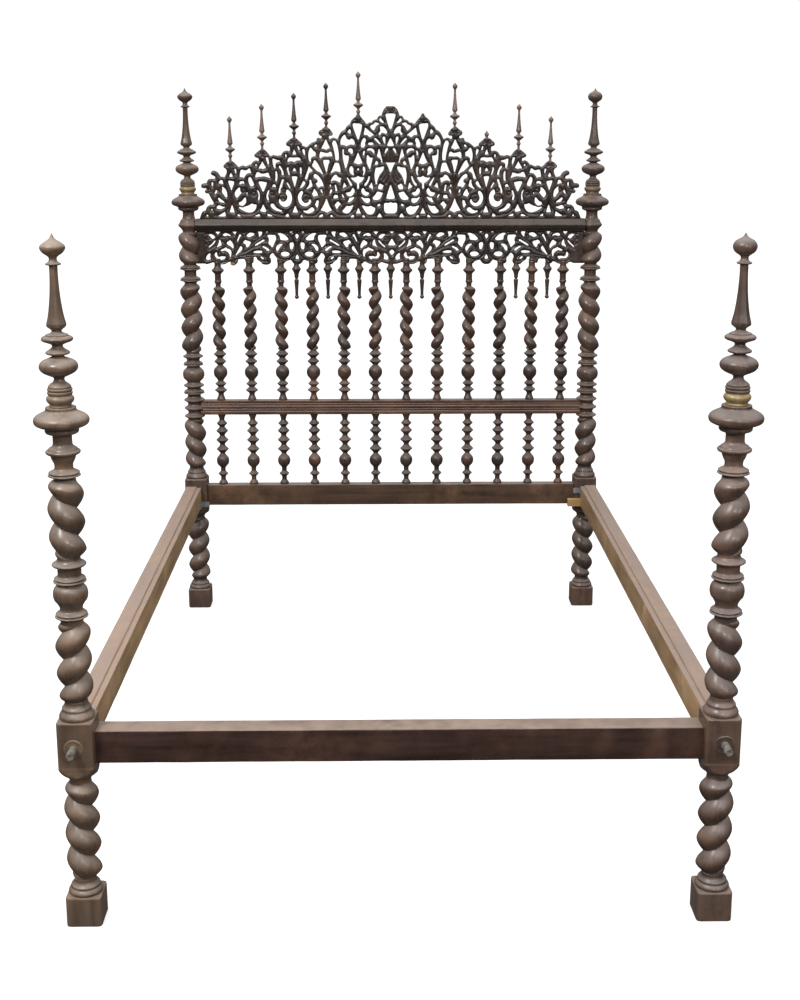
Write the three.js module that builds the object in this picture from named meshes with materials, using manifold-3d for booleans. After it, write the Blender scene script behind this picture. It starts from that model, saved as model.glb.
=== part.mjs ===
// Four poster bed frame in turned rosewood: four twist-turned posts, an openwork headboard with
// two rows of spindles, a pierced frieze, a cornice and a pierced crest, and four plain rails.
// Millimetres, +Z up, origin at the bottom centre of the bounding box, the head of the bed at +Y.
import * as THREE from 'three';
import { mergeVertices } from 'three/addons/utils/BufferGeometryUtils.js';
import Module from 'manifold-3d';

const wasm = await Module();
wasm.setup();

// ---- driving dimensions -------------------------------------------------------------------
const POST_SPACING_X = 1340; // between post axes, across the bed
const POST_SPACING_Y = 2000; // between post axes, along the bed
const BLOCK = 76; // side of the square stock left at the foot and at the rails
const FIT = 0.3; // gap left where two pieces touch
const FRONT_TIP = 1459; // height of the foot post finials
const REAR_TIP = 1768; // height of the head post finials
const BOLT_REACH = 37; // how far each bed bolt stands out of its post
const DISC_RADIUS = 55; // the widest turning, under the brass collar
const RAIL_TOP = 433;
const RAIL_HEIGHT = 68;
const HEAD_RAIL_TOP = 438;
const HEAD_RAIL_HEIGHT = 72;
const SIDE_RAIL_TOP = 438;
const SIDE_RAIL_HEIGHT = 72;
const MID_RAIL_TOP = 733;
const MID_RAIL_BOTTOM = 685;
const FRIEZE_BOTTOM = 1199;
const CORNICE_BOTTOM = 1305;
const CORNICE_TOP = 1346;
const SPINDLE_COUNT = 12;
const SPINDLE_PITCH = 105.2;
const BOSS_PITCH = 105.4;
const BOSS_HEIGHTS = [365, 330, 294, 262, 227, 188]; // above the cornice, from the middle outwards
const PLATE = 16; // thickness of the crest and frieze boards
const TWIST_PITCH = 58; // one turn of the post twist
const TWIST_CREST = 37;
const TWIST_VALLEY = 22;

const POST_X = POST_SPACING_X / 2;
const FRONT_Y = -(POST_SPACING_Y + DISC_RADIUS - BLOCK / 2 - BOLT_REACH) / 2;
const REAR_Y = FRONT_Y + POST_SPACING_Y;
const HALF = BLOCK / 2;

// ---- materials ----------------------------------------------------------------------------
const wood = (color, roughness = 0.5) => new THREE.MeshStandardMaterial({ color, roughness, metalness: 0 });
const POST_WOOD = 0x6b5748;
const SPINDLE_WOOD = 0x4a3f38;
const CARVED_WOOD = 0x352c29;
const CORNICE_WOOD = 0x463a34;
const RAIL_WOOD = 0x4a3228;
const DUSTY_WOOD = 0x9a8474;
const BRASS = 0x8a6f3f;
const IRON = 0x8d887f;
const ZINC = 0xa9afb0;
const PALE_WOOD = 0xb08a55;

// ---- geometry helpers ---------------------------------------------------------------------
const bed = new THREE.Group();

function solidOf(geometry) {
  const bare = geometry.clone();
  bare.deleteAttribute('normal');
  bare.deleteAttribute('uv');
  const joined = mergeVertices(bare, 1e-3);
  const index = joined.index.array;
  const faces = [];
  for (let i = 0; i < index.length; i += 3) {
    const [a, b, c] = [index[i], index[i + 1], index[i + 2]];
    if (a !== b && b !== c && c !== a) faces.push(a, b, c);
  }
  const mesh = new wasm.Mesh({
    numProp: 3,
    vertProperties: new Float32Array(joined.attributes.position.array),
    triVerts: new Uint32Array(faces),
  });
  return new wasm.Manifold(mesh);
}

function geometryOf(solid) {
  const mesh = solid.getMesh();
  const geometry = new THREE.BufferGeometry();
  geometry.setAttribute('position', new THREE.BufferAttribute(mesh.vertProperties, 3));
  geometry.setIndex(new THREE.BufferAttribute(mesh.triVerts, 1));
  geometry.computeVertexNormals();
  return geometry;
}

function addPiece(name, shape, material, x = 0, y = 0, z = 0) {
  const geometry = shape instanceof THREE.BufferGeometry ? shape : geometryOf(shape);
  const mesh = new THREE.Mesh(geometry, material);
  mesh.name = name;
  mesh.position.set(x, y, z);
  bed.add(mesh);
  return mesh;
}

function box(lowX, highX, lowY, highY, lowZ, highZ) {
  const geometry = new THREE.BoxGeometry(highX - lowX, highY - lowY, highZ - lowZ);
  geometry.translate((lowX + highX) / 2, (lowY + highY) / 2, (lowZ + highZ) / 2);
  return solidOf(geometry);
}

function upright(geometry) {
  return geometry.rotateX(Math.PI / 2);
}

// A station is one ring of a turned piece: its height, its radius and the shape of its outline.
const round = (z, r) => ({ z, r, shape: 'round' });
const square = (z, r) => ({ z, r, shape: 'square' });
const lambsTongue = (z, r) => ({ z, r, shape: 'cut square' });

// Rings for one stretch of single-start twist, with the strand fading out at both ends.
// The crest faces the angle `facing` at the height bumpAt.
function twist(low, high, { pitch, crest, valley, hand, facing, bumpAt, neck, perTurn = 4 }) {
  const count = Math.round(((high - low) / pitch) * perTurn);
  const rings = [];
  for (let i = 0; i <= count; i += 1) {
    const z = low + ((high - low) * i) / count;
    const fade = Math.min(1, (z - low) / (pitch * 0.25) + 0.15, (high - z) / (pitch * 0.25) + 0.15);
    const phase = facing + (2 * Math.PI * hand * (z - bumpAt)) / pitch;
    rings.push({ z, r: crest, shape: 'twist', crest, valley, phase, fade, neck });
  }
  return rings;
}

function ringRadius(ring, angle) {
  if (ring.r === 0) return 0;
  const reach = Math.max(Math.abs(Math.cos(angle)), Math.abs(Math.sin(angle)));
  if (ring.shape === 'square') return ring.r / reach;
  if (ring.shape === 'cut square') return Math.min(ring.r / reach, ring.r * 1.12);
  if (ring.shape === 'twist') {
    const turned = angle - ring.phase;
    const away = Math.abs(Math.atan2(Math.sin(turned), Math.cos(turned))) / Math.PI;
    const strand = ring.crest - (ring.crest - ring.valley) * away ** 1.7;
    return ring.neck + (strand - ring.neck) * ring.fade;
  }
  return ring.r;
}

// A lathe of plain rings, whose points are then moved out or in to each ring's own outline.
function turned(rings, sides, grow = 0) {
  const profile = rings.map((ring) => new THREE.Vector2(Math.max(ring.r, 0), ring.z));
  const geometry = upright(new THREE.LatheGeometry(profile, sides));
  const points = geometry.attributes.position;
  for (let i = 0; i < points.count; i += 1) {
    const ring = rings[i % rings.length];
    const angle = -Math.PI / 2 + (2 * Math.PI * Math.floor(i / rings.length)) / sides;
    const radius = ring.r === 0 ? 0 : ringRadius(ring, angle) + grow;
    points.setXY(i, radius * Math.cos(angle), radius * Math.sin(angle));
  }
  return geometry;
}

// A run of rings and beads, given as height, radius and the neck above each, from the bottom up.
function beads(...list) {
  return list.flatMap(([middle, radius, neckHeight, neck]) => [round(middle, radius), round(neckHeight, neck)]);
}

function prism(outline, thickness) {
  const shape = new THREE.Shape(outline.map(([x, z]) => new THREE.Vector2(x, z)));
  const geometry = new THREE.ExtrudeGeometry(shape, { depth: thickness, bevelEnabled: false });
  geometry.translate(0, 0, -thickness / 2);
  return solidOf(upright(geometry));
}

function piercedBoard(outline, holes, thickness) {
  const cutters = holes.map((hole) => prism(hole, thickness + 4));
  return prism(outline, thickness).subtract(wasm.Manifold.union(cutters));
}

function extrudedAlongX(section, length) {
  const shape = new THREE.Shape(section.map(([y, z]) => new THREE.Vector2(y, z)));
  const geometry = new THREE.ExtrudeGeometry(shape, { depth: length, bevelEnabled: false });
  geometry.translate(0, 0, -length / 2);
  geometry.rotateX(Math.PI / 2);
  geometry.rotateZ(Math.PI / 2);
  return solidOf(geometry);
}

// ---- posts --------------------------------------------------------------------------------
const POST_SIDES = 8;
const SOCKET_RADIUS = 7.2;
const SPIGOT_RADIUS = 6.5;
const COLLAR_HEIGHT = 25;
const COLLAR_TOP_BELOW_TIP = 315.5;
const SHAFT_TOP_BELOW_TIP = COLLAR_TOP_BELOW_TIP + COLLAR_HEIGHT + FIT;
const SOCKET_DEPTH = 24;
const SPIGOT_LENGTH = 46;

// The twists of left and right posts mirror each other: their crests face the middle of the bed together.
const postTwist = (side, hand, bumpAt) => ({
  pitch: TWIST_PITCH, crest: TWIST_CREST, valley: TWIST_VALLEY, hand: -side * hand, bumpAt, neck: 23,
  facing: side < 0 ? 0 : Math.PI,
});

// Foot block, leg twist, rail block and lower twist, which turn the other way on the head posts.
function lowerPost(side, hand, legBump, lowerBump) {
  return [
    round(0, 0), square(0, 34), square(7, HALF), square(66, HALF), round(66, 35), round(73, 37.5), round(82, 35),
    round(86, 30), round(97, 24),
    ...twist(101, 317, postTwist(side, -hand, legBump)),
    round(321, 22), lambsTongue(331, 33), square(350, HALF), square(462, HALF), round(462, 34),
    round(469, 37.5), round(479, 35), round(484, 30), round(497, 24),
    ...twist(502, 666, postTwist(side, hand, lowerBump)),
  ];
}

// Disc, collar seat and socket mouth at the top of every post shaft.
function shaftTop(tip) {
  const top = tip - SHAFT_TOP_BELOW_TIP;
  return [
    round(tip - 413, 20), round(tip - 392, 20), round(tip - 386, 34), round(tip - 378, 35), round(tip - 369, 51),
    round(tip - 361, DISC_RADIUS), round(tip - 354, 50), round(tip - 347, 31), round(top, 28),
    round(top, SOCKET_RADIUS), round(top - SOCKET_DEPTH, SOCKET_RADIUS), round(top - SOCKET_DEPTH, 0),
  ];
}

function frontPostRings(side) {
  return [
    ...lowerPost(side, 1, 233.6, 588),
    round(678, 23), ...beads([688, 34, 702, 23], [730, 35.5, 750, 23], [760, 34, 775, 24], [794, 34.5, 804, 24]),
    ...twist(809, 968, postTwist(side, -1, 884)),
    round(974, 21), ...beads([982, 32, 999, 19]), round(1015, 28), ...beads([1028, 35, 1038, 21]),
    ...shaftTop(FRONT_TIP),
  ];
}

function rearPostRings(side) {
  return [
    ...lowerPost(side, -1, 235, 618),
    round(669, 22), ...beads([679, 34, 693, 22], [707, 34, 721, 22], [735, 34.5, 749, 22], [763, 35, 774, 22],
      [785, 33.5, 797, 22], [823, 36, 848, 22], [859, 33, 872, 22], [885, 33, 895, 22]),
    ...twist(901, 1124, postTwist(side, 1, 1011)),
    round(1130, 20), ...beads([1142, 35, 1152, 20]), round(1169, 20), ...beads([1180, 35, 1191, 21]),
    ...twist(1197, 1300, postTwist(side, -1, 1254)),
    round(1304, 22), round(1326, 34), round(1345, 21),
    ...shaftTop(REAR_TIP),
  ];
}

// ---- rails and their joints ---------------------------------------------------------------
const FOOT_RAIL_BACK = HALF; // the foot rail is flush with the inner face of the post blocks
const FOOT_RAIL_DEPTH = 52;
const HEAD_RAIL_DEPTH = 36;
const SIDE_RAIL_DEPTH = 51;
const SIDE_RAIL_OUTER = POST_X + 33;
const REBATE_WIDTH = 14;
const REBATE_DEPTH = 4;
const RAIL_SPAN = POST_SPACING_X - BLOCK - 2 * FIT;
const TENON_LENGTH = 26;
const TENON_SHOULDER = 11;
const MID_RAIL_DEPTH = 34;
const BOLT_RADIUS = 9;
const BOLT_HEIGHT = 406;
const BOLT_INSIDE = 130;
const BOLT_X = POST_X + 3;

// A tenon box on one end of a rail that runs across the bed, or the mortise for it when grown.
function crossTenon(side, y, low, high, thickness, reach, grow) {
  const start = side * (POST_X - HALF - 3 - grow);
  const end = side * (POST_X - HALF + reach + grow);
  return box(Math.min(start, end), Math.max(start, end), y - thickness / 2 - grow, y + thickness / 2 + grow,
    low - grow, high + grow);
}

const footTenon = (side, grow) => crossTenon(side, FRONT_Y + 12, RAIL_TOP - RAIL_HEIGHT + TENON_SHOULDER,
  RAIL_TOP - TENON_SHOULDER, 16, TENON_LENGTH - 12, grow);
const headTenon = (side, grow) => crossTenon(side, REAR_Y, HEAD_RAIL_TOP - HEAD_RAIL_HEIGHT + TENON_SHOULDER,
  HEAD_RAIL_TOP - TENON_SHOULDER, 14, TENON_LENGTH, grow);
const midTenon = (side, grow) => crossTenon(side, REAR_Y, MID_RAIL_BOTTOM + 7, MID_RAIL_TOP - 7, 12,
  TENON_LENGTH, grow);
const friezeTenon = (side, grow) => crossTenon(side, REAR_Y, FRIEZE_BOTTOM + 6, CORNICE_BOTTOM - 8, 12, 20, grow);

// Stub tenon on the end of a side rail, which runs along the bed; end is -1 at the foot.
function sideTenon(side, end, grow) {
  const face = end < 0 ? FRONT_Y + HALF : REAR_Y - HALF;
  const low = Math.min(face - end * 3, face + end * (15 + grow));
  const high = Math.max(face - end * (3 + grow), face + end * (15 + grow));
  const middle = side * BOLT_X;
  return box(middle - 13 - grow, middle + 13 + grow, low, high, SIDE_RAIL_TOP - SIDE_RAIL_HEIGHT + 12 - grow,
    SIDE_RAIL_TOP - 12 + grow);
}

function boltHole(side, radius) {
  const geometry = new THREE.CylinderGeometry(radius, radius, BOLT_INSIDE + 6, 8);
  geometry.translate(side * BOLT_X, FRONT_Y - HALF + BOLT_INSIDE / 2, BOLT_HEIGHT);
  return solidOf(geometry);
}

function addPost(name, side, rings, y, mortises) {
  let shaft = solidOf(turned(rings, POST_SIDES).translate(side * POST_X, y, 0));
  for (const mortise of mortises) shaft = shaft.subtract(mortise);
  addPiece(name, shaft, wood(POST_WOOD, 0.45));
}

const SIDES = [['left', -1], ['right', 1]];
const rearEnvelope = {};
for (const [word, side] of SIDES) {
  addPost(`post_foot_${word}`, side, frontPostRings(side), FRONT_Y,
    [footTenon(side, FIT), sideTenon(side, -1, FIT), boltHole(side, BOLT_RADIUS + FIT)]);
  const rear = rearPostRings(side);
  addPost(`post_head_${word}`, side, rear, REAR_Y,
    [headTenon(side, FIT), midTenon(side, FIT), friezeTenon(side, FIT), sideTenon(side, 1, FIT)]);
  rearEnvelope[word] = solidOf(turned(rear, POST_SIDES, FIT).translate(side * POST_X, REAR_Y, 0));
}

function clearOfPosts(solid) {
  return solid.subtract(rearEnvelope.left).subtract(rearEnvelope.right);
}

function addCrossRail(name, low, high, front, back, tenon) {
  let rail = box(-RAIL_SPAN / 2, RAIL_SPAN / 2, front, back, low, high);
  for (const [, side] of SIDES) rail = rail.add(tenon(side, 0));
  addPiece(name, rail, wood(RAIL_WOOD, 0.4));
}

addCrossRail('foot_rail', RAIL_TOP - RAIL_HEIGHT, RAIL_TOP, FRONT_Y + FOOT_RAIL_BACK - FOOT_RAIL_DEPTH,
  FRONT_Y + FOOT_RAIL_BACK, footTenon);
addCrossRail('head_rail', HEAD_RAIL_TOP - HEAD_RAIL_HEIGHT, HEAD_RAIL_TOP, REAR_Y - HEAD_RAIL_DEPTH / 2,
  REAR_Y + HEAD_RAIL_DEPTH / 2, headTenon);

for (const [word, side] of SIDES) {
  const outer = side * SIDE_RAIL_OUTER;
  const inner = side * (SIDE_RAIL_OUTER - SIDE_RAIL_DEPTH);
  const step = side * (SIDE_RAIL_OUTER - SIDE_RAIL_DEPTH + REBATE_WIDTH);
  const [foot, head] = [FRONT_Y + HALF + FIT, REAR_Y - HALF - FIT];
  let rail = box(Math.min(inner, outer), Math.max(inner, outer), foot, head, SIDE_RAIL_TOP - SIDE_RAIL_HEIGHT,
    SIDE_RAIL_TOP);
  rail = rail.subtract(box(Math.min(inner - side, step), Math.max(inner - side, step), foot - 1, head + 1,
    SIDE_RAIL_TOP - REBATE_DEPTH, SIDE_RAIL_TOP + 1));
  rail = rail.add(sideTenon(side, -1, 0)).add(sideTenon(side, 1, 0));
  addPiece(`side_rail_${word}`, rail.subtract(boltHole(side, BOLT_RADIUS + FIT)), wood(DUSTY_WOOD, 0.7));

  const bolt = new THREE.CylinderGeometry(BOLT_RADIUS, BOLT_RADIUS, BOLT_REACH + BOLT_INSIDE, 8);
  addPiece(`bed_bolt_${word}`, bolt, new THREE.MeshStandardMaterial({ color: IRON, roughness: 0.8, metalness: 0.4 }),
    side * BOLT_X, FRONT_Y - HALF + (BOLT_INSIDE - BOLT_REACH) / 2, BOLT_HEIGHT);
}

// The middle rail has two reeds on its front and back, and fits round the rings of the posts.
const reed = MID_RAIL_DEPTH / 2;
const midSection = [];
for (const [depth, up] of [[reed, 0], [reed, 12], [reed - 3, 14], [reed - 3, 17], [reed, 19], [reed, 26],
  [reed - 3, 28], [reed - 3, 31], [reed, 33], [reed, MID_RAIL_TOP - MID_RAIL_BOTTOM]]) {
  midSection.push([depth, MID_RAIL_BOTTOM + up]);
}
const midBack = midSection.map(([depth, z]) => [-depth, z]).reverse();
let midRail = extrudedAlongX([...midSection, ...midBack], 2 * (POST_X - 21)).translate([0, REAR_Y, 0]);
midRail = clearOfPosts(midRail).add(midTenon(-1, 0)).add(midTenon(1, 0));
addPiece('mid_rail', midRail, wood(RAIL_WOOD, 0.4));

// ---- cornice, frieze and crest ------------------------------------------------------------
const corniceSection = [[17, CORNICE_BOTTOM], [20, 1312], [32, 1323], [33, 1328], [22, 1343], [20, CORNICE_TOP]];
const corniceBack = corniceSection.map(([depth, z]) => [-depth, z]).reverse();
const corniceSolid = extrudedAlongX([...corniceSection, ...corniceBack], 2 * (POST_X - 24)).translate([0, REAR_Y, 0]);
addPiece('cornice', clearOfPosts(corniceSolid), wood(CORNICE_WOOD, 0.45));

// Openings of one frieze unit, drawn from its heart axis to its volute axis 316 mm away and
// above the bottom edge; units are mirrored in turn along the board.
const FRIEZE_UNIT = 316;
const FRIEZE_HEIGHT = CORNICE_BOTTOM - FRIEZE_BOTTOM - FIT;
const FRIEZE_OPENINGS = [
  [[10, 40], [22, 66], [12, 82]],
  [[44, 14], [74, 14], [80, 30], [60, 42], [40, 32]],
  [[42, 52], [84, 46], [76, 84], [34, 90]],
  [[96, 30], [128, 84], [90, 90]],
  [[112, 22], [176, 62], [142, 86]],
  [[130, 12], [206, 12], [226, 36], [190, 52]],
  [[200, 66], [236, 60], [240, 88], [176, 92]],
  [[252, 30], [276, 20], [298, 32], [300, 52], [276, 68], [252, 56]],
  [[262, 80], [296, 74], [300, 92], [270, 96]],
];

function friezeHoles() {
  const holes = [];
  for (const [axis, direction] of [[-632, 1], [0, -1], [0, 1], [632, -1]]) {
    for (const opening of FRIEZE_OPENINGS) {
      const hole = opening.map(([u, v]) => [axis + direction * u, FRIEZE_BOTTOM + v]);
      const atEnd = Math.abs(axis) > FRIEZE_UNIT && opening[0][0] < 44;
      if (!atEnd) holes.push(hole);
    }
  }
  return holes;
}

// Turned drops under the frieze, midway between spindles; four of the eleven are missing.
const PENDANT_SLOTS = [-3, -2, -1, 0, 1, 4, 5];
const PENDANT_STUB_SLOT = -5;
const pendantRings = [
  round(FRIEZE_BOTTOM - 121, 0), round(FRIEZE_BOTTOM - 112, 4), round(FRIEZE_BOTTOM - 60, 7.5),
  round(FRIEZE_BOTTOM - 52, 4), round(FRIEZE_BOTTOM - 20, 14), round(FRIEZE_BOTTOM + 3, 8), round(FRIEZE_BOTTOM + 3, 0),
];
const stubRings = [
  round(FRIEZE_BOTTOM - 7, 0), round(FRIEZE_BOTTOM - 6, 8), round(FRIEZE_BOTTOM + 3, 9), round(FRIEZE_BOTTOM + 3, 0),
];

const friezeEdge = POST_X - 24;
const friezeOutline = [[-friezeEdge, FRIEZE_BOTTOM], [friezeEdge, FRIEZE_BOTTOM],
  [friezeEdge, FRIEZE_BOTTOM + FRIEZE_HEIGHT], [-friezeEdge, FRIEZE_BOTTOM + FRIEZE_HEIGHT]];
let frieze = piercedBoard(friezeOutline, friezeHoles(), PLATE).translate([0, REAR_Y, 0]);
for (const slot of PENDANT_SLOTS) {
  frieze = frieze.add(solidOf(turned(pendantRings, 5).translate(slot * SPINDLE_PITCH, REAR_Y, 0)));
}
frieze = frieze.add(solidOf(turned(stubRings, 5).translate(PENDANT_STUB_SLOT * SPINDLE_PITCH, REAR_Y, 0)));
frieze = clearOfPosts(frieze).add(friezeTenon(-1, 0)).add(friezeTenon(1, 0));
addPiece('frieze', frieze, wood(CARVED_WOOD, 0.45));

// Crest board: a stepped outline with a palmette cap on each boss, pierced between and under them.
function crestOutline() {
  const right = [];
  for (let step = 0; step < BOSS_HEIGHTS.length; step += 1) {
    const middle = step * BOSS_PITCH;
    const top = BOSS_HEIGHTS[step];
    const next = BOSS_HEIGHTS[step + 1] ?? 0;
    if (step > 0) right.push([middle - 24, top - 22]);
    if (step > 0) right.push([middle - 9, top - 1]);
    right.push([middle + 9, top - 1], [middle + 24, top - 22]);
    if (next > 0) right.push([middle + 40, next - 18], [middle + 72, next - 30]);
  }
  right.push([566, 138], [588, 152], [596, 128], [615, 108], [606, 84], [586, 46], [604, 44], [626, 14], [626, 0]);
  const left = right.map(([x, z]) => [-x, z]).reverse();
  return [...left, ...right].map(([x, z]) => [x, CORNICE_TOP + FIT + z]);
}

function crestHoles() {
  const holes = [];
  const put = (middle, points) => holes.push(points.map(([x, z]) => [middle + x, CORNICE_TOP + FIT + z]));
  for (let step = -5; step <= 5; step += 1) {
    const middle = step * BOSS_PITCH;
    const top = BOSS_HEIGHTS[Math.abs(step)];
    put(middle, [[-13, 8], [13, 8], [0, top * 0.16 + 14]]);
    put(middle, [[0, top * 0.42], [13, top * 0.42 + 36], [-13, top * 0.42 + 36]]);
    if (top > 200) put(middle, [[-16, top * 0.6 + 26], [16, top * 0.6 + 26], [0, top * 0.72 + 26]]);
    if (top > 300) put(middle, [[0, top - 78], [13, top - 28], [-13, top - 28]]);
  }
  for (let gap = -5; gap < 5; gap += 1) {
    const middle = (gap + 0.5) * BOSS_PITCH;
    const lower = Math.min(BOSS_HEIGHTS[Math.abs(gap)], BOSS_HEIGHTS[Math.abs(gap + 1)]) - 34;
    put(middle, [[-26, 14], [26, 14], [14, 30], [-14, 30]]);
    put(middle, [[0, 40], [27, 68], [0, 96], [-27, 68]]);
    put(middle, [[0, 104], [22, 122], [12, lower * 0.5 + 66], [-12, lower * 0.5 + 66], [-22, 122]]);
    if (lower > 230) put(middle, [[0, 222], [18, 238], [0, lower - 14], [-18, 238]]);
  }
  return holes;
}

addPiece('crest', piercedBoard(crestOutline(), crestHoles(), PLATE), wood(CARVED_WOOD, 0.45), 0, REAR_Y, 0);

// ---- spindles -----------------------------------------------------------------------------
const SPINDLE_SIDES = 5;
const spindleTwist = (hand) => ({
  pitch: 47, crest: 20, valley: 8, bumpAt: hand < 0 ? 1106 : 1088, neck: 9, hand, facing: 0,
});

function upperSpindle(hand) {
  return [
    round(MID_RAIL_TOP + FIT, 0), round(MID_RAIL_TOP + FIT, 14), round(750, 9),
    ...beads([768, 20, 779, 9], [790, 17, 801, 9], [829, 23, 853, 9], [866, 19, 879, 10], [892, 20, 900, 10]),
    ...twist(906, 1117, spindleTwist(hand)),
    round(1121, 8), round(1139, 11.5), round(1160, 10.5), round(1174, 20.5), round(1190, 11),
    round(FRIEZE_BOTTOM - FIT, 10), round(FRIEZE_BOTTOM - FIT, 0),
  ];
}

const lowerSpindleRings = [
  round(HEAD_RAIL_TOP + FIT, 0), round(HEAD_RAIL_TOP + FIT, 15), round(460, 7),
  ...beads([475, 15.5, 489, 7], [522, 21, 550, 8], [562, 18.5, 578, 8], [594, 18.5, 610, 8], [626, 18, 641, 7],
    [652, 15, 665, 6]),
  round(MID_RAIL_BOTTOM - FIT, 13), round(MID_RAIL_BOTTOM - FIT, 0),
];

for (let i = 0; i < SPINDLE_COUNT; i += 1) {
  const x = (i - (SPINDLE_COUNT - 1) / 2) * SPINDLE_PITCH;
  const label = String(i + 1).padStart(2, '0');
  const hand = i % 2 === 0 ? -1 : 1; // the twist changes hand from each spindle to the next
  addPiece(`upper_spindle_${label}`, turned(upperSpindle(hand), SPINDLE_SIDES), wood(SPINDLE_WOOD, 0.4), x, REAR_Y, 0);
  addPiece(`lower_spindle_${label}`, turned(lowerSpindleRings, SPINDLE_SIDES), wood(SPINDLE_WOOD, 0.4), x, REAR_Y, 0);
}

// ---- finials and brass collars ------------------------------------------------------------
const finialRings = [
  [-COLLAR_TOP_BELOW_TIP - SPIGOT_LENGTH + 2, 0], [-COLLAR_TOP_BELOW_TIP - SPIGOT_LENGTH + 2, SPIGOT_RADIUS],
  [-COLLAR_TOP_BELOW_TIP + FIT, SPIGOT_RADIUS], [-COLLAR_TOP_BELOW_TIP + FIT, 24], [-299, 24], [-284, 10.5],
  [-259, 38], [-240, 12], [-231, 23.5], [-218, 11], [-205, 30.5], [-190, 10], [-178, 19.5], [-145, 12.5], [-96, 8.3],
  [-60, 8], [-55, 15], [-46, 8.5], [-28, 24.5], [-12, 4], [0, 0],
];

function collarGeometry() {
  const ring = [[SOCKET_RADIUS, 0], [23.5, 0], [28, 9], [28, 15], [23.5, COLLAR_HEIGHT], [SOCKET_RADIUS, COLLAR_HEIGHT],
    [SOCKET_RADIUS, 0]];
  return upright(new THREE.LatheGeometry(ring.map(([r, z]) => new THREE.Vector2(r, z)), POST_SIDES));
}

for (const [place, y, tip] of [['foot', FRONT_Y, FRONT_TIP], ['head', REAR_Y, REAR_TIP]]) {
  for (const [word, side] of SIDES) {
    const x = side * POST_X;
    const brass = new THREE.MeshStandardMaterial({ color: BRASS, roughness: 0.35, metalness: 1 });
    addPiece(`collar_${place}_${word}`, collarGeometry(), brass, x, y, tip - COLLAR_TOP_BELOW_TIP - COLLAR_HEIGHT);
    const rings = finialRings.map(([z, r]) => round(z, r));
    addPiece(`finial_${place}_${word}`, turned(rings, POST_SIDES), wood(POST_WOOD, 0.45), x, y, tip);
  }
}

// Eight of the eleven crest bosses still carry a plugged-in finial.
const CREST_FINIAL_SLOTS = [-5, -4, -3, -2, -1, 2, 4, 5];
const crestFinialRings = [
  [0, 0], [0, 5], [10, 4], [17, 7], [24, 4], [38, 16.5], [50, 4.5], [57, 9], [122, 3.4], [134, 8.2], [145, 0],
];
CREST_FINIAL_SLOTS.forEach((slot, i) => {
  const rings = crestFinialRings.map(([z, r]) => round(z, r));
  addPiece(`crest_finial_${String(i + 1).padStart(2, '0')}`, turned(rings, 5), wood(SPINDLE_WOOD, 0.45),
    slot * BOSS_PITCH, REAR_Y, CORNICE_TOP + BOSS_HEIGHTS[Math.abs(slot)] + FIT);
});

// ---- repair fittings in the corners at the head -------------------------------------------
const zinc = () => new THREE.MeshStandardMaterial({ color: ZINC, roughness: 0.5, metalness: 0.8 });
const CORNER_X = SIDE_RAIL_OUTER - SIDE_RAIL_DEPTH - FIT;
const CORNER_Y = REAR_Y - HALF - FIT;

const plateLeft = box(-CORNER_X, -CORNER_X + 26, CORNER_Y - 2.5, CORNER_Y, 366, 384);
addPiece('angle_plate_left', plateLeft.add(box(-CORNER_X, -CORNER_X + 2.5, CORNER_Y - 40, CORNER_Y, 366, 384)), zinc());

const plateRight = box(CORNER_X - 24, CORNER_X, CORNER_Y - 2.5, CORNER_Y, 410, 428);
addPiece('angle_plate_right', plateRight.add(box(CORNER_X - 2.5, CORNER_X, CORNER_Y - 40, CORNER_Y, 410, 428)), zinc());

addPiece('corner_block_right', box(CORNER_X - 44, CORNER_X, CORNER_Y - 22, CORNER_Y, 368, 392), wood(PALE_WOOD, 0.8));

export default bed;
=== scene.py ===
"""Looks of the four poster bed: turned posts, spindles, carved crest and frieze, rails and fittings.

Shapes are given in millimetres in the bed's own frame (+X right, +Y to the head, +Z up) and are
turned into metres when a mesh is made.
"""

import math

import bmesh
import bpy
import numpy as np
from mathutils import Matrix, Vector


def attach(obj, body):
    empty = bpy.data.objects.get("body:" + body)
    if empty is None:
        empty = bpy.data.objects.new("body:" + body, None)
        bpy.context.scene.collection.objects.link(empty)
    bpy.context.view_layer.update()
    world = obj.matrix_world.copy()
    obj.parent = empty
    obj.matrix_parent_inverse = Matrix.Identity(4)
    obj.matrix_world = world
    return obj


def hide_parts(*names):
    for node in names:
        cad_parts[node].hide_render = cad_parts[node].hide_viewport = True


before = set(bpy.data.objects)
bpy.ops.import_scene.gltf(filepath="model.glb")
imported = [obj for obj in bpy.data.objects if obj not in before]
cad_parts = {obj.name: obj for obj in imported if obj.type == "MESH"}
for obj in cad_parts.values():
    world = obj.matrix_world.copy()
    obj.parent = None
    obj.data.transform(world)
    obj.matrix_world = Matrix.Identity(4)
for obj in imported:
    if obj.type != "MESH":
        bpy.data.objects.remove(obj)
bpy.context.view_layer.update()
FRAME_BODY = "frame"

# ---- driving dimensions, as in the CAD ------------------------------------------------------
POST_X = 670
FRONT_Y = -990
HEAD_Y = 1010
HALF_BLOCK = 38
FOOT_TIP = 1459
HEAD_TIP = 1768
RAIL_TOP = 433
HEAD_RAIL_TOP = 438
MID_RAIL_BOTTOM = 685
FRIEZE_BOTTOM = 1199
CORNICE_BOTTOM = 1305
CORNICE_TOP = 1346
SPINDLE_PITCH = 105.2
SPINDLE_COUNT = 12
BOSS_PITCH = 105.4
BOSS_HEIGHTS = (365, 330, 294, 262, 227, 188)
FRIEZE_UNIT = 316
GAP = 0.3


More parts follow.
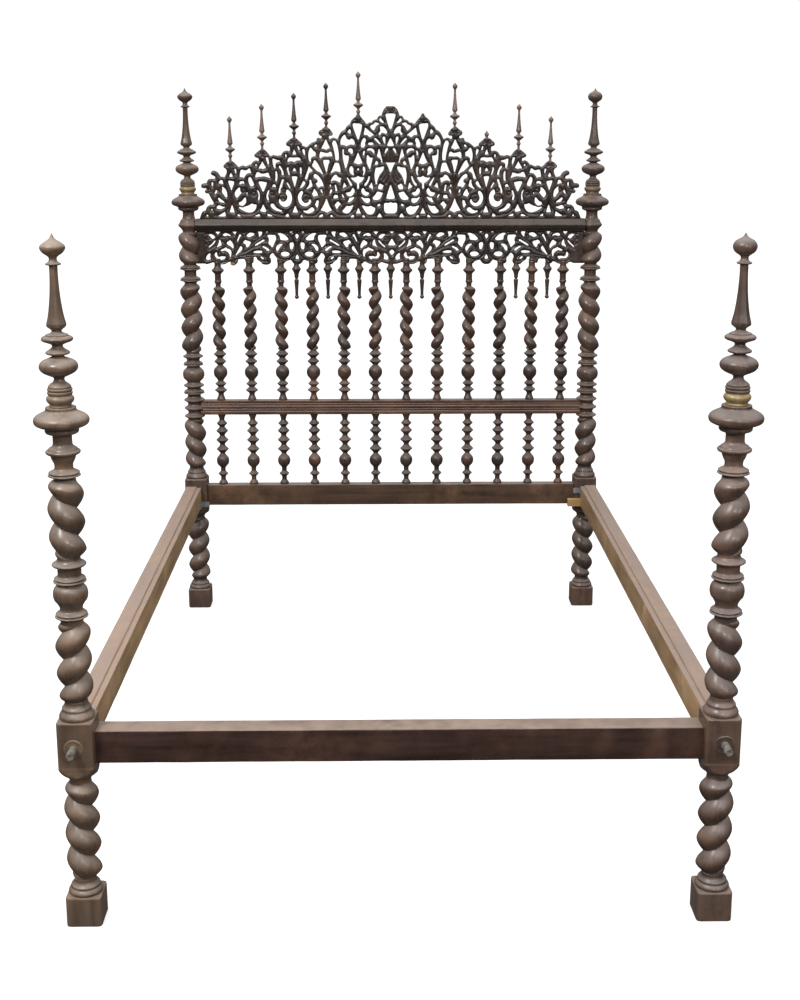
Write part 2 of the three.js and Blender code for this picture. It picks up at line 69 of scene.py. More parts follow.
# ---- meshes ---------------------------------------------------------------------------------
def smooth_mesh(name, points, faces, material, sharp=38):
    """A smooth-shaded mesh from points in millimetres, with edges over `sharp` degrees kept sharp."""
    mesh = bpy.data.meshes.new(name)
    mesh.from_pydata([tuple(p) for p in np.asarray(points) * 0.001], [], faces)
    mesh.validate()
    mesh.polygons.foreach_set("use_smooth", [True] * len(mesh.polygons))
    mesh.set_sharp_from_angle(angle=math.radians(sharp))
    mesh.materials.append(material)
    return mesh


def place(name, mesh, at):
    thing = bpy.data.objects.new(name, mesh)
    thing.location = Vector(at) * 0.001
    bpy.context.scene.collection.objects.link(thing)
    return thing


def mesh_object(name, points, faces, material, sharp=38):
    return place(name, smooth_mesh(name, points, faces, material, sharp), (0, 0, 0))


def stands_for(thing, node, body=FRAME_BODY):
    """Makes a piece ride on its body in place of a CAD node."""
    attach(thing, body)
    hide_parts(node)


def curve_through(knots, steps):
    """Points of a Catmull-Rom curve through the knots; a knot given twice is a sharp corner."""
    knots = [np.array(k, float) for k in knots]
    runs, run = [], [knots[0]]
    for before, knot in zip(knots, knots[1:]):
        if np.allclose(before, knot):
            runs.append(run)
            run = []
        run.append(knot)
    runs.append(run)
    out = []
    for run in runs:
        if len(run) < 3:
            out.extend(run)
            continue
        ends = [2 * run[0] - run[1], *run, 2 * run[-1] - run[-2]]
        for i in range(1, len(ends) - 2):
            a, b, c, d = ends[i - 1 : i + 3]
            square, cube = 2 * a - 5 * b + 4 * c - d, 3 * b - a - 3 * c + d
            for s in np.arange(steps) / steps:
                out.append(0.5 * (2 * b + (c - a) * s + square * s**2 + cube * s**3))
        out.append(run[-1])
    return out


def walls(storeys, n):
    """Quads between rings of n points that lie one after the other."""
    return [(i * n + j, i * n + (j + 1) % n, (i + 1) * n + (j + 1) % n, (i + 1) * n + j)
            for i in range(storeys) for j in range(n)]


# ---- turning --------------------------------------------------------------------------------
CORNER_REACH = 1.335  # from the axis to a block's rubbed corners, in half widths; sharp ones reach 1.414


class Turning:
    """Rings stacked up an axis, each with its own radius all round; ends close on the axis."""

    def __init__(self, sides):
        self.sides = sides
        self.angles = np.arange(sides) * 2 * math.pi / sides
        self.rings = []
        self.offset = 0.0

    def add(self, z, radius):
        self.rings.append((z, np.broadcast_to(radius, self.sides).astype(float),
                           self.angles + self.offset))

    def profile(self, knots, steps=4):
        """A plain turned stretch: height and radius of each knot."""
        for z, r in curve_through(knots, steps):
            self.add(z, max(r, 0.0))

    def straighten(self):
        """Brings the ring points back to the side directions, so that square corners get a point each."""
        step = 2 * math.pi / self.sides
        self.offset = round(self.offset / step) * step

    def block(self, low, high, half, under=()):
        """A square block; `under` is the turned shoulder that cuts its lower corners."""
        self.straighten()
        around = self.angles + self.offset
        square = half / np.maximum(abs(np.cos(around)), abs(np.sin(around)))
        square = np.minimum(square, half * CORNER_REACH)
        for z, limit in curve_through(under, 5) if under else ():
            self.add(z, np.minimum(square, limit))
        for z, shrink in ((low, 1.5), (low + 1.5, 0.4), (low + 4, 0), (high - 4, 0), (high - 1.5, 0.4),
                          (high, 1.5)):
            self.add(z, square - (0 if under and z < low + 5 else shrink))

    def octagon(self, knots, softness):
        """A stretch with eight flats; softness 0 is round, and 1 has full corners."""
        self.straighten()
        turn = (self.angles + self.offset + math.pi / 8) % (math.pi / 4) - math.pi / 8
        for z, r in curve_through(knots, 4):
            self.add(z, r * (1 + softness * (1 / np.cos(turn) - 1.04)))

    def twist(self, low, high, pitch, crest, valley, hand, bump, neck, steps=22, fade=0.3):
        """One strand wound round the axis; its crest faces +X at height bump, and both ends fade."""
        away = abs((self.angles / math.pi + 1) % 2 - 1)
        strand = crest - (crest - valley) * away**1.75
        start = self.offset
        first = hand * 2 * math.pi * (low - bump) / pitch
        first += 2 * math.pi * round((start - first) / (2 * math.pi))
        count = int((high - low) / pitch * steps)
        for i in range(count + 1):
            z = low + (high - low) * i / count
            self.offset = first + hand * 2 * math.pi * (z - low) / pitch
            near = min(1.0, (z - low) / (pitch * fade), (high - z) / (pitch * fade))
            blend = math.sin(near * math.pi / 2) ** 0.8 if near > 0 else 0.0
            self.add(z, neck + (strand - neck) * blend)

    def mesh(self, name, material, sharp=38):
        n, last = self.sides, len(self.rings) - 1
        points = [np.stack([radius * np.cos(around), radius * np.sin(around), np.full(n, z)], 1)
                  for z, radius, around in self.rings]
        faces = walls(last, n)
        faces.append(tuple(range(n - 1, -1, -1)))
        faces.append(tuple(range(last * n, last * n + n)))
        return smooth_mesh(name, np.concatenate(points), faces, material, sharp)

    def build(self, name, material, at, sharp=38):
        return place(name, self.mesh(name, material, sharp), at)


def ring(z, r, neck, half):
    """A bead with a blunt edge and hollow sides."""
    low = neck + (r - neck) * 0.3
    return [(z - half, neck), (z - half * 0.58, low), (z - 3, r - 2.2), (z - 1, r), (z + 1.2, r),
            (z + 3.2, r - 2.2), (z + half * 0.58, low), (z + half, neck)]


def bead(z, r, neck, half):
    """A full diamond-shaped bead."""
    mid = neck + (r - neck) * 0.5
    return [(z - half, neck), (z - half * 0.48, mid), (z - 1.6, r - 0.6), (z, r), (z + 1.6, r - 0.6),
            (z + half * 0.48, mid), (z + half, neck)]


def double_ring(z, r, neck, half=10):
    """Two thin discs, the lower one a little wider."""
    mid = neck + (r - neck) * 0.45
    return [(z - half, neck), (z - half * 0.62, mid), (z - 4.6, r - 0.6), (z - 3.2, r), (z - 2, r - 0.8),
            (z - 0.8, r - 3.6), (z + 0.6, r - 3.4), (z + 1.8, r - 1.6), (z + 3.4, r - 2.2),
            (z + half * 0.6, mid), (z + half, neck)]


def ball(z, r, neck, half):
    return [(z - half, neck), (z - half * 0.8, neck + (r - neck) * 0.42),
            (z - half * 0.5, neck + (r - neck) * 0.83), (z, r),
            (z + half * 0.5, neck + (r - neck) * 0.83), (z + half * 0.8, neck + (r - neck) * 0.42),
            (z + half, neck)]


# ---- carved openwork ------------------------------------------------------------------------
def numbers(words):
    """Points from a line of words: across, up, across, up."""
    values = [float(w) for w in words.split()]
    return list(zip(values[::2], values[1::2]))


def lines_of(table):
    """The lines of points in a table of texts, in which a semicolon ends each line."""
    return [numbers(line) for text in table for line in text.split(";")]


SHARP_TURN = 58


def closed_curve(points):
    """A closed curve through the points, smooth except where it turns by more than SHARP_TURN degrees."""
    n = len(points)
    turns = []
    for i in range(n):
        a, b, c = np.array(points[i - 1]), np.array(points[i]), np.array(points[(i + 1) % n])
        turn = math.atan2(*(c - b)[::-1]) - math.atan2(*(b - a)[::-1])
        turns.append(abs((math.degrees(turn) + 180) % 360 - 180) > SHARP_TURN)
    if not any(turns):
        return curve_through(points[-2:] + points + points[:2], 3)[6:-6]
    first = turns.index(True)
    order = [(first + i) % n for i in range(n)]
    knots = []
    for i in order:
        knots += [points[i]] * (2 if turns[i] and i != first else 1)
    return curve_through(knots + [points[first]], 3)


WORN_EDGE = 0.4  # how far the wood stands beyond the drawn outline, since its arrises are rounded
EDGE_HALF = 2.4  # half the thickness at an edge
SWELL = 6.4  # how much higher the face is at SWELL_REACH from an edge and beyond
SWELL_REACH = 8.5
REAR_SHARE = 0.6  # the back swells by this share of the front


def distance_from(x, z, p, q):
    """How far the grid points x, z are from the straight line between p and q."""
    d = q - p
    t = np.clip(((x - p[0]) * d[0] + (z - p[1]) * d[1]) / max(d @ d, 1e-9), 0, 1)
    return np.hypot(x - p[0] - t * d[0], z - p[1] - t * d[1])


class Fretwork:
    """A pierced and carved board; the field is the distance to its nearest edge, negative in the wood."""

    def __init__(self, outline, cell):
        edge = np.array(closed_curve(outline))
        self.cell = cell
        self.xs = np.arange(edge[:, 0].min() - 2 * cell, edge[:, 0].max() + 3 * cell, cell)
        self.zs = np.arange(edge[:, 1].min() - 2 * cell, edge[:, 1].max() + 3 * cell, cell)
        self.field = self.signed(edge, slice(None), slice(None))
        self.cut = np.zeros(self.field.shape)

    def signed(self, edge, rows, columns):
        x, z = np.meshgrid(self.xs[columns], self.zs[rows])
        best, within = np.full(x.shape, 1e3), np.zeros(x.shape, bool)
        for p, q in zip(edge, np.roll(edge, -1, 0)):
            best = np.minimum(best, distance_from(x, z, p, q))
            if p[1] != q[1]:
                crossing = p[0] + (z - p[1]) / (q[1] - p[1]) * (q[0] - p[0])
                within ^= ((p[1] > z) != (q[1] > z)) & (x < crossing)
        return np.where(within, -best, best)

    def opening(self, points):
        edge = np.array(closed_curve(points))
        low, high = edge.min(0) - 12, edge.max(0) + 12
        rows = slice(*np.searchsorted(self.zs, (low[1], high[1])))
        columns = slice(*np.searchsorted(self.xs, (low[0], high[0])))
        if rows.start < rows.stop and columns.start < columns.stop:
            self.field[rows, columns] = np.maximum(self.field[rows, columns],
                                                   -self.signed(edge, rows, columns))

    def groove(self, points, width=4.8, depth=4.2):
        """A carved line along the points."""
        x, z = np.meshgrid(self.xs, self.zs)
        path = np.array(curve_through(points, 4))
        away = np.full(x.shape, 1e3)
        for p, q in zip(path, path[1:]):
            away = np.minimum(away, distance_from(x, z, p, q))
        self.cut = np.maximum(self.cut, depth * np.clip(1 - away / width, 0, 1))

    def build(self, name, material, y):
        """The board round the plane y, thin at its edge and swollen away from it."""
        f = self.field - WORN_EDGE
        slope_z, slope_x = np.gradient(f, self.cell)
        centre = (f[:-1, :-1] + f[1:, :-1] + f[:-1, 1:] + f[1:, 1:]) / 4
        keep = centre < 0
        padded = np.pad(keep, 1)
        touching = padded[:-1, :-1].astype(int) + padded[1:, :-1] + padded[:-1, 1:] + padded[1:, 1:]
        used = touching > 0
        rim = used & (touching < 4)
        steep = np.maximum(slope_x**2 + slope_z**2, 0.05)
        shift = np.where(rim, np.clip(f, -self.cell, self.cell) / steep, 0)
        x = self.xs[None, :] - np.clip(shift * slope_x, -self.cell, self.cell)
        z = self.zs[:, None] - np.clip(shift * slope_z, -self.cell, self.cell)
        inward = np.clip(np.where(rim, 0, -f) / SWELL_REACH, 0, 1)
        swell = np.sqrt(1 - (1 - inward) ** 2)
        index = np.full(f.shape, -1)
        index[used] = np.arange(used.sum())
        middle = np.full(used.sum(), y)
        face = middle - EDGE_HALF - SWELL * swell[used] + self.cut[used]
        front = np.stack([x[used], face, z[used]], 1)
        rear = np.stack([x[used], middle + EDGE_HALF + SWELL * REAR_SHARE * swell[used], z[used]], 1)
        a, b = index[:-1, :-1][keep], index[:-1, 1:][keep]
        c, d = index[1:, 1:][keep], index[1:, :-1][keep]
        count = len(front)
        faces = [np.stack([a, b, c, d], 1), np.stack([d, c, b, a], 1) + count]
        below = keep & ~padded[:-2, 1:-1]
        above = keep & ~padded[2:, 1:-1]
        before = keep & ~padded[1:-1, :-2]
        after = keep & ~padded[1:-1, 2:]
        for mask, (p, q) in ((below, ((0, 0), (0, 1))), (above, ((1, 1), (1, 0))),
                             (before, ((1, 0), (0, 0))), (after, ((0, 1), (1, 1)))):
            j, i = np.nonzero(mask)
            one, two = index[j + p[0], i + p[1]], index[j + q[0], i + q[1]]
            faces.append(np.stack([one, one + count, two + count, two], 1))
        return mesh_object(name, np.concatenate([front, rear]), np.concatenate(faces).tolist(), material,
                           sharp=55)


# ---- materials ------------------------------------------------------------------------------
def new_material(name):
    material = bpy.data.materials.new(name)
    material.use_nodes = True
    return material, material.node_tree, material.node_tree.nodes["Principled BSDF"]


def node(tree, kind, inputs=(), **settings):
    made = tree.nodes.new(kind)
    for key, value in settings.items():
        setattr(made, key, value)
    for key, value in dict(inputs).items():
        if isinstance(value, bpy.types.NodeSocket):
            tree.links.new(value, made.inputs[key])
        else:
            made.inputs[key].default_value = value
    return made


def mixed(tree, factor, a, b):
    """The colour of mixing a with b."""
    made = tree.nodes.new("ShaderNodeMix")
    made.data_type = "RGBA"
    for socket, value in ((made.inputs[0], factor), (made.inputs[6], a), (made.inputs[7], b)):
        if isinstance(value, bpy.types.NodeSocket):
            tree.links.new(value, socket)
        else:
            socket.default_value = value
    return made.outputs[2]


def ranged(tree, value, low, high, to_low=0.0, to_high=1.0):
    """The value brought from low..high to to_low..to_high, and held there."""
    inputs = {"Value": value, "From Min": low, "From Max": high, "To Min": to_low, "To Max": to_high}
    return node(tree, "ShaderNodeMapRange", inputs).outputs["Result"]


def noise(tree, vector, scale, detail, roughness):
    inputs = {"Vector": vector, "Scale": scale, "Detail": detail, "Roughness": roughness}
    return node(tree, "ShaderNodeTexNoise", inputs).outputs["Fac"]


def product(tree, a, b):
    return node(tree, "ShaderNodeMath", {0: a, 1: b}, operation="MULTIPLY").outputs[0]


def rgb(code):
    """A linear colour from a hexadecimal sRGB one."""
    values = [int(code[i : i + 2], 16) / 255 for i in (0, 2, 4)]
    return (*[v / 12.92 if v <= 0.04045 else ((v + 0.055) / 1.055) ** 2.4 for v in values], 1)


def wood(name, dark, light, worn, dust_and_painted_top_colour, along="z", dust_and_painted_top_share=0.46, gloss=0.28, band=None, outer=None):
    """Waxed wood: grain streaks along one axis, warm worn patches, dust with a painted top tone on upward
    faces, rubbed edges, painted shade in hollows.

    `band` gives two heights between which the wood is darker; beyond `outer` metres across it is stained.
    """
    material, tree, shader = new_material(name)
    coordinates = node(tree, "ShaderNodeTexCoord").outputs["Object"]
    stretch = {"x": (0.07, 1, 1), "y": (1, 0.07, 1), "z": (1, 1, 0.07)}[along]
    chance = node(tree, "ShaderNodeObjectInfo").outputs["Random"]
    away = {0: ranged(tree, chance, 0, 1, 0, 7), 1: ranged(tree, chance, 0, 1, 3, 0)}
    away = node(tree, "ShaderNodeCombineXYZ", away).outputs[0]
    moved = node(tree, "ShaderNodeVectorMath", {0: coordinates, 1: away}, operation="ADD").outputs[0]
    streak = node(tree, "ShaderNodeMapping", {"Vector": moved, "Scale": stretch}).outputs[0]
    coarse = noise(tree, streak, 46, 5, 0.62)
    fine = noise(tree, streak, 210, 3, 0.6)
    patches = noise(tree, moved, 7, 3, 0.5)
    mottled = noise(tree, moved, 26, 4, 0.6)
    colour = mixed(tree, ranged(tree, coarse, 0.32, 0.68), rgb(dark), rgb(light))
    colour = mixed(tree, product(tree, ranged(tree, patches, 0.42, 0.68),
                                 ranged(tree, mottled, 0.3, 0.65)), colour, rgb(worn))
    colour = mixed(tree, product(tree, ranged(tree, fine, 0.55, 0.8), 0.45), colour, rgb(dark))
    parts = node(tree, "ShaderNodeSeparateXYZ", {0: coordinates}).outputs
    if band:
        over_low = ranged(tree, parts["Z"], band[0] - 0.01, band[0])
        inside = product(tree, over_low, ranged(tree, parts["Z"], band[1], band[1] + 0.002, 1, 0))
        colour = mixed(tree, product(tree, inside, 0.5), colour, rgb(dark))
    if outer:
        across = node(tree, "ShaderNodeMath", {0: parts["X"]}, operation="ABSOLUTE").outputs[0]
        stained = mixed(tree, ranged(tree, coarse, 0.32, 0.68), rgb("2c1f19"), rgb("4a362c"))
        colour = mixed(tree, ranged(tree, across, outer - 0.0015, outer), colour, stained)
    geometry = node(tree, "ShaderNodeNewGeometry")
    up = node(tree, "ShaderNodeSeparateXYZ", {0: geometry.outputs["Normal"]}).outputs["Z"]
    # Upward faces take the dust colour: partly real dust, partly a painted tone for the light that falls
    # on them from above.
    dust_and_painted_top_mask = product(tree, ranged(tree, up, 0.15, 0.95, 0, dust_and_painted_top_share),
                      ranged(tree, mottled, 0.25, 0.6, 0.55, 1))
    colour = mixed(tree, dust_and_painted_top_mask, colour, rgb(dust_and_painted_top_colour))
    rubbed = ranged(tree, geometry.outputs["Pointiness"], 0.52, 0.6, 0, 0.5)
    colour = mixed(tree, rubbed, colour, rgb(worn))
    # Painted shade: hollows and creases are darkened towards near-black, standing in for the shade that
    # gathers there.
    painted_crevice_shade = ranged(tree, geometry.outputs["Pointiness"], 0.43, 0.494, 0.85, 0)
    colour = mixed(tree, painted_crevice_shade, colour, rgb("17110f"))
    tree.links.new(colour, shader.inputs["Base Color"])
    smooth = ranged(tree, mottled, 0.3, 0.7, gloss - 0.07, gloss + 0.1)
    rough = node(tree, "ShaderNodeMath", {0: smooth, 1: product(tree, dust_and_painted_top_mask, 0.32)}, operation="ADD")
    tree.links.new(rough.outputs[0], shader.inputs["Roughness"])
    height = mixed(tree, 0.4, coarse, fine)
    bump = node(tree, "ShaderNodeBump", {"Strength": 0.22, "Distance": 0.0008, "Height": height})
    tree.links.new(bump.outputs[0], shader.inputs["Normal"])
    return material


def metal(name, base, stain, metallic, rough, bumpy, scale=60):
    """Metal with stained patches and an uneven finish."""
    material, tree, shader = new_material(name)
    coordinates = node(tree, "ShaderNodeTexCoord").outputs["Object"]
    stains = noise(tree, coordinates, scale, 6, 0.65)
    colour = mixed(tree, ranged(tree, stains, 0.4, 0.66), rgb(base), rgb(stain))
    tree.links.new(colour, shader.inputs["Base Color"])
    tree.links.new(ranged(tree, stains, 0.3, 0.7, rough - 0.1, rough + 0.2), shader.inputs["Roughness"])
    shader.inputs["Metallic"].default_value = metallic
    height = noise(tree, coordinates, scale * 4, 4, 0.6)
    bump = node(tree, "ShaderNodeBump", {"Strength": bumpy, "Distance": 0.0008, "Height": height})
    tree.links.new(bump.outputs[0], shader.inputs["Normal"])
    return material


BLOCK_BAND = (0.362, 0.462)
POST_LEFT = wood("post_wood_left", "44362c", "6b594b", "816853", "a1988f", band=BLOCK_BAND)
POST_RIGHT = wood("post_wood_right", "3a2d27", "5f4e45", "7a604f", "9a908c", band=BLOCK_BAND)
HEAD_POST_LEFT = wood("head_post_wood_left", "3f3129", "60504a", "7a604d", "938882", dust_and_painted_top_share=0.38,
                      gloss=0.25, band=BLOCK_BAND)
HEAD_POST_RIGHT = wood("head_post_wood_right", "3b2e28", "604f45", "775b49", "938680", dust_and_painted_top_share=0.38,
                       gloss=0.25, band=BLOCK_BAND)
SPINDLE = wood("spindle_wood", "2b2320", "4a3f3a", "6a4a36", "8a807a", gloss=0.28)
SPIRE = wood("spire_wood", "503e34", "7b685c", "867062", "a0948d", dust_and_painted_top_share=0.35)
CARVED = wood("carved_wood", "221c1a", "3b322f", "4f3e34", "7c736f", dust_and_painted_top_share=0.5, gloss=0.27)
CORNICE = wood("cornice_wood", "28211e", "41372f", "53453b", "766a64", along="x", dust_and_painted_top_share=0.5)
RAIL = wood("foot_rail_wood", "281a16", "43302a", "573d31", "8f7c6f", along="x", dust_and_painted_top_share=0.9)
HEAD_RAIL = wood("head_rail_wood", "3a2b22", "5c4738", "6d523e", "8d7f78", along="x", dust_and_painted_top_share=0.6)
MID = wood("mid_rail_wood", "3b281e", "634637", "7a5741", "8f827b", along="x", dust_and_painted_top_share=0.6)
SIDE_LEFT = wood("side_wood_left", "8a6c4c", "b5936a", "bd9c76", "907f76", along="y", dust_and_painted_top_share=0.95,
                 gloss=0.6, outer=0.7018)
SIDE_RIGHT = wood("side_wood_right", "85684b", "b08e66", "b89873", "8c7d75", along="y", dust_and_painted_top_share=0.95,
                  gloss=0.6, outer=0.7018)
PALE = wood("pale_wood", "8d6a42", "b08a55", "c09a64", "c7b08b", along="x", dust_and_painted_top_share=0.3, gloss=0.7)
BRASS = metal("old_brass", "a8946a", "80704f", 0.35, 0.4, 0.12)
TARNISHED = metal("tarnished_brass", "877661", "6a5b4c", 0.25, 0.42, 0.12)
IRON = metal("bolt_iron", "8f8a81", "4d443c", 0.5, 0.7, 0.6, 90)
ZINC = metal("zinc_plate", "b4b9ba", "868c8e", 0.8, 0.45, 0.15)


# ---- posts ----------------------------------------------------------------------------------
POST_SIDES = 48
TWIST_PITCH = 58
HALF_TURN = TWIST_PITCH / 2  # raises the strand by half a turn, so that right posts mirror left ones
COLLAR_DROP = 340.5  # from a finial's tip to the collar's seat
NECK_UNDER_BLOCK = [(321, 22.5), (326, 23), (333, 28), (340, 37), (347, 43), (354, 47), (362, 52)]


def lower_post(post, hand_leg, leg_bump, hand_low, low_bump):
    """Foot block, leg twist, rail block and lower twist."""
    post.add(0, 30)
    post.block(0, 66, HALF_BLOCK)
    post.profile([(66.2, 33.5), (66.2, 33.5), (68, 35.6), (71.5, 36.2), (75.5, 34.2), (78.5, 31.4),
                  (80.5, 30.6), (80.5, 30.6), (82.2, 31), (84.4, 30.4), (87, 27.6), (91, 24.6),
                  (95, 23.4), (100, 23.6)])
    post.twist(101, 318, TWIST_PITCH, 36.8, 21.5, hand_leg, leg_bump, 23)
    post.block(362, 462, HALF_BLOCK, under=NECK_UNDER_BLOCK)
    post.profile([(462.2, 34), (462.2, 34), (464.5, 36.2), (469, 36.4), (474, 34), (478.5, 30.8),
                  (481, 29.8), (481, 29.8), (483, 30.4), (486, 29.4), (490, 26.2), (495, 24.2),
                  (499, 23.8)])
    post.twist(501, 668, TWIST_PITCH, 36.5, 21.5, hand_low, low_bump, 23)


def shaft_top(post, tip):
    """Column, broad disc and the seat of the brass collar, with the finial's socket."""
    knots = [(-413, 19.2), (-400, 19.2), (-396.5, 22.5), (-393, 31), (-389, 33.6), (-385, 33.4),
             (-382, 36.5), (-379, 45), (-375, 52), (-369.5, 54.6), (-363, 54), (-357, 48.5),
             (-352.5, 40), (-349, 33.5), (-346, 30.5), (-341, 30), (-340.8, 28), (-340.8, 28),
             (-340.8, 7.2), (-340.8, 7.2), (-364, 7.2)]
    post.profile([(tip + z, r) for z, r in knots])


def foot_post(side):
    post = Turning(POST_SIDES)
    hand = -side
    start = 0 if side < 0 else HALF_TURN
    lower_post(post, -hand, 233.6 + start, hand, 588 + start)
    post.profile([(669, 23.2), (674, 23.2), *double_ring(687, 33.6, 23.6), (704, 23.6),
                  *ball(731, 35.4, 23.6, 22)[1:-1], (752, 23.8), *double_ring(762, 33.4, 24, 9),
                  (780, 24), *ring(794, 34.4, 24, 10), (807, 23.4)])
    post.twist(809, 970, TWIST_PITCH, 36.8, 21.5, -hand, 884 + start, 23)
    post.profile([(971, 22.3), *double_ring(983, 32.4, 19.4, 10), (999, 18.4), (1005, 19.4), (1010, 22),
                  (1016, 24.4), (1020.4, 25.6), (1021.8, 28), (1024, 32.6), (1027, 34.6), (1030, 33.8),
                  (1032, 30), (1033.8, 29), (1036, 26.8), (1039, 22), (1043, 19.4)])
    shaft_top(post, FOOT_TIP)
    return post


def head_post(side):
    post = Turning(POST_SIDES)
    hand = side
    start = 0 if side < 0 else HALF_TURN
    lower_post(post, -hand, 235 + start, hand, 618 + start)
    post.profile([(667, 22), *ring(679, 34.2, 22.4, 11), *ring(707, 34.2, 22.4, 12),
                  *ring(735, 34.6, 22.4, 12), *double_ring(763, 35, 22.4, 10), *ring(785, 34, 22.4, 10),
                  (799, 22.8), *ball(823, 36.4, 23, 23)[1:-1], (848, 22),
                  *double_ring(860, 33.4, 22, 9), *ring(885, 33.4, 22, 10), (897, 22)])
    post.twist(899, 1129, 61, 36.8, 21, -hand, 1011 + start, 22)
    post.profile([(1130.5, 20.8), *double_ring(1146, 35, 20, 11), (1159, 19.8), (1171, 19.8),
                  *double_ring(1184, 35, 20, 11), (1196.6, 21)])
    post.twist(1198, 1302, TWIST_PITCH, 36.5, 21.5, hand, 1255 + start, 22, fade=0.2)
    post.profile([(1303, 21.2), (1307, 21.6), (1314, 26), (1321, 33), (1324.5, 34.6), (1328, 34.4),
                  (1332, 31.4), (1338, 28.4), (1343, 26), (1347, 21.6), (1352, 20.3)])
    shaft_top(post, HEAD_TIP)
    return post


FINIAL_BASE = [(-359.5, 6.5), (-359.5, 6.5), (-315.2, 6.5), (-315.2, 6.5), (-315.2, 24), (-315.2, 24),
               (-313, 24.8), (-310.5, 24.8), (-309.3, 23), (-308, 23), (-306.8, 24.6), (-303.8, 24.6),
               (-302.6, 22.8), (-300.5, 22.8), (-298.5, 22.4), (-294, 18), (-290, 12.5), (-285, 10.4),
               (-281, 12), (-277, 20.5), (-272, 30.5), (-266, 36.4), (-260, 38), (-254, 36.6), (-248, 31),
               (-243.5, 21), (-240.4, 13.8), (-238.4, 12), (-236.8, 15.5), (-235.2, 21.5), (-233, 23.8),
               (-230.4, 23), (-227.5, 19), (-224, 13.8), (-220, 10.6), (-216.2, 12), (-212.6, 20),
               (-209.6, 28), (-206.5, 30.8), (-203, 30.4), (-200, 26.6), (-198.6, 22.4), (-196.4, 21.4),
               (-194, 15), (-191, 10.2), (-187.4, 10.6), (-183, 16)]
FINIAL_SPIRE = [(-181, 18.3), (-176.5, 19), (-171, 17.8), (-160, 15.2), (-145, 12.8), (-120, 10),
                (-95, 8.5), (-76, 7.9), (-68, 8.1)]
FINIAL_RING = [(-66, 8.1), (-62.6, 8.3), (-61.6, 12), (-60.2, 14.8), (-58.2, 14.9), (-56.2, 11.4),
               (-53.6, 8.6), (-49.6, 7.6), (-46, 8.6)]
FINIAL_ONION = [(-43, 12), (-39, 18), (-34, 22.4), (-29, 24.6), (-24, 23.6), (-18.5, 17.5), (-13.5, 9.5),
                (-9, 4.6), (-4, 2.2), (0, 0.4)]
FINIAL_BALL = [(-43, 12.4), (-39.5, 17.6), (-35, 21.4), (-28, 23.6), (-21, 22), (-15.5, 17.6),
               (-11.4, 10.4), (-8, 5), (-4, 2.2), (0, 0.4)]
COLLAR = [(0, 7.2), (0, 7.2), (0, 21), (0, 21), (2, 21.8), (4.5, 21.2), (7, 22.6), (11, 25.8), (15, 27.4),
          (19, 26.8), (22, 24.4), (23.4, 22.8), (25, 22.8), (25, 22.8), (25, 7.2)]


def finial(head):
    made = Turning(POST_SIDES)
    made.profile(FINIAL_BASE)
    made.octagon(FINIAL_SPIRE, softness=0.8)
    made.profile(FINIAL_RING + head)
    return made


for word, side in (("left", -1), ("right", 1)):
    for place_name, y, tip, make in (("foot", FRONT_Y, FOOT_TIP, foot_post),
                                     ("head", HEAD_Y, HEAD_TIP, head_post)):
        woods = (POST_LEFT, POST_RIGHT) if place_name == "foot" else (HEAD_POST_LEFT, HEAD_POST_RIGHT)
        wood_here = woods[side > 0]
        brass_here = TARNISHED if (place_name == "foot") == (word == "left") else BRASS
        post = make(side).build(f"turned_post_{place_name}_{word}", wood_here, (side * POST_X, y, 0))
        stands_for(post, f"post_{place_name}_{word}")
        top = finial(FINIAL_ONION if side < 0 else FINIAL_BALL).build(
            f"turned_finial_{place_name}_{word}", POST_LEFT if side < 0 else POST_RIGHT,
            (side * POST_X, y, tip), sharp=28)
        stands_for(top, f"finial_{place_name}_{word}", f"finial_{place_name}_{word}_body")
        band = Turning(POST_SIDES)
        band.profile(COLLAR)
        band = band.build(f"brass_collar_{place_name}_{word}", brass_here,
                          (side * POST_X, y, tip - COLLAR_DROP))
        stands_for(band, f"collar_{place_name}_{word}")


# ---- spindles, pendants and crest finials -----------------------------------------------------
SMALL_SIDES = 24


def upper_spindle(hand):
    made = Turning(SMALL_SIDES)
    made.profile([(733.4, 14), (733.4, 14), (737, 14.3), (743, 12.4), (750, 9.8),
                  *bead(768, 20.6, 9.6, 11), *bead(790, 18.6, 9.6, 10), (801, 9),
                  *ball(829, 23.2, 9.5, 23)[1:-1], (854, 9), *bead(867, 20, 10, 11),
                  *bead(892, 21, 10, 12)])
    made.twist(905, 1120, 47.5, 22.6, 8.6, hand, 1106 if hand < 0 else 1088, 9.5, 18, fade=0.18)
    made.profile([(1122, 8.6), (1126, 8.6), (1131, 9.2), (1135, 11.6), (1138, 12.2), (1141, 11),
                  (1146, 10.6), (1160, 10.6), (1165, 12.2), (1169.5, 17), (1174, 20.4), (1178, 19),
                  (1184, 13), (1190, 10.8), (1199, 10.6), (1202, 11.6), (1206, 10.2), (1210, 11.4),
                  (1214, 9)])
    return made


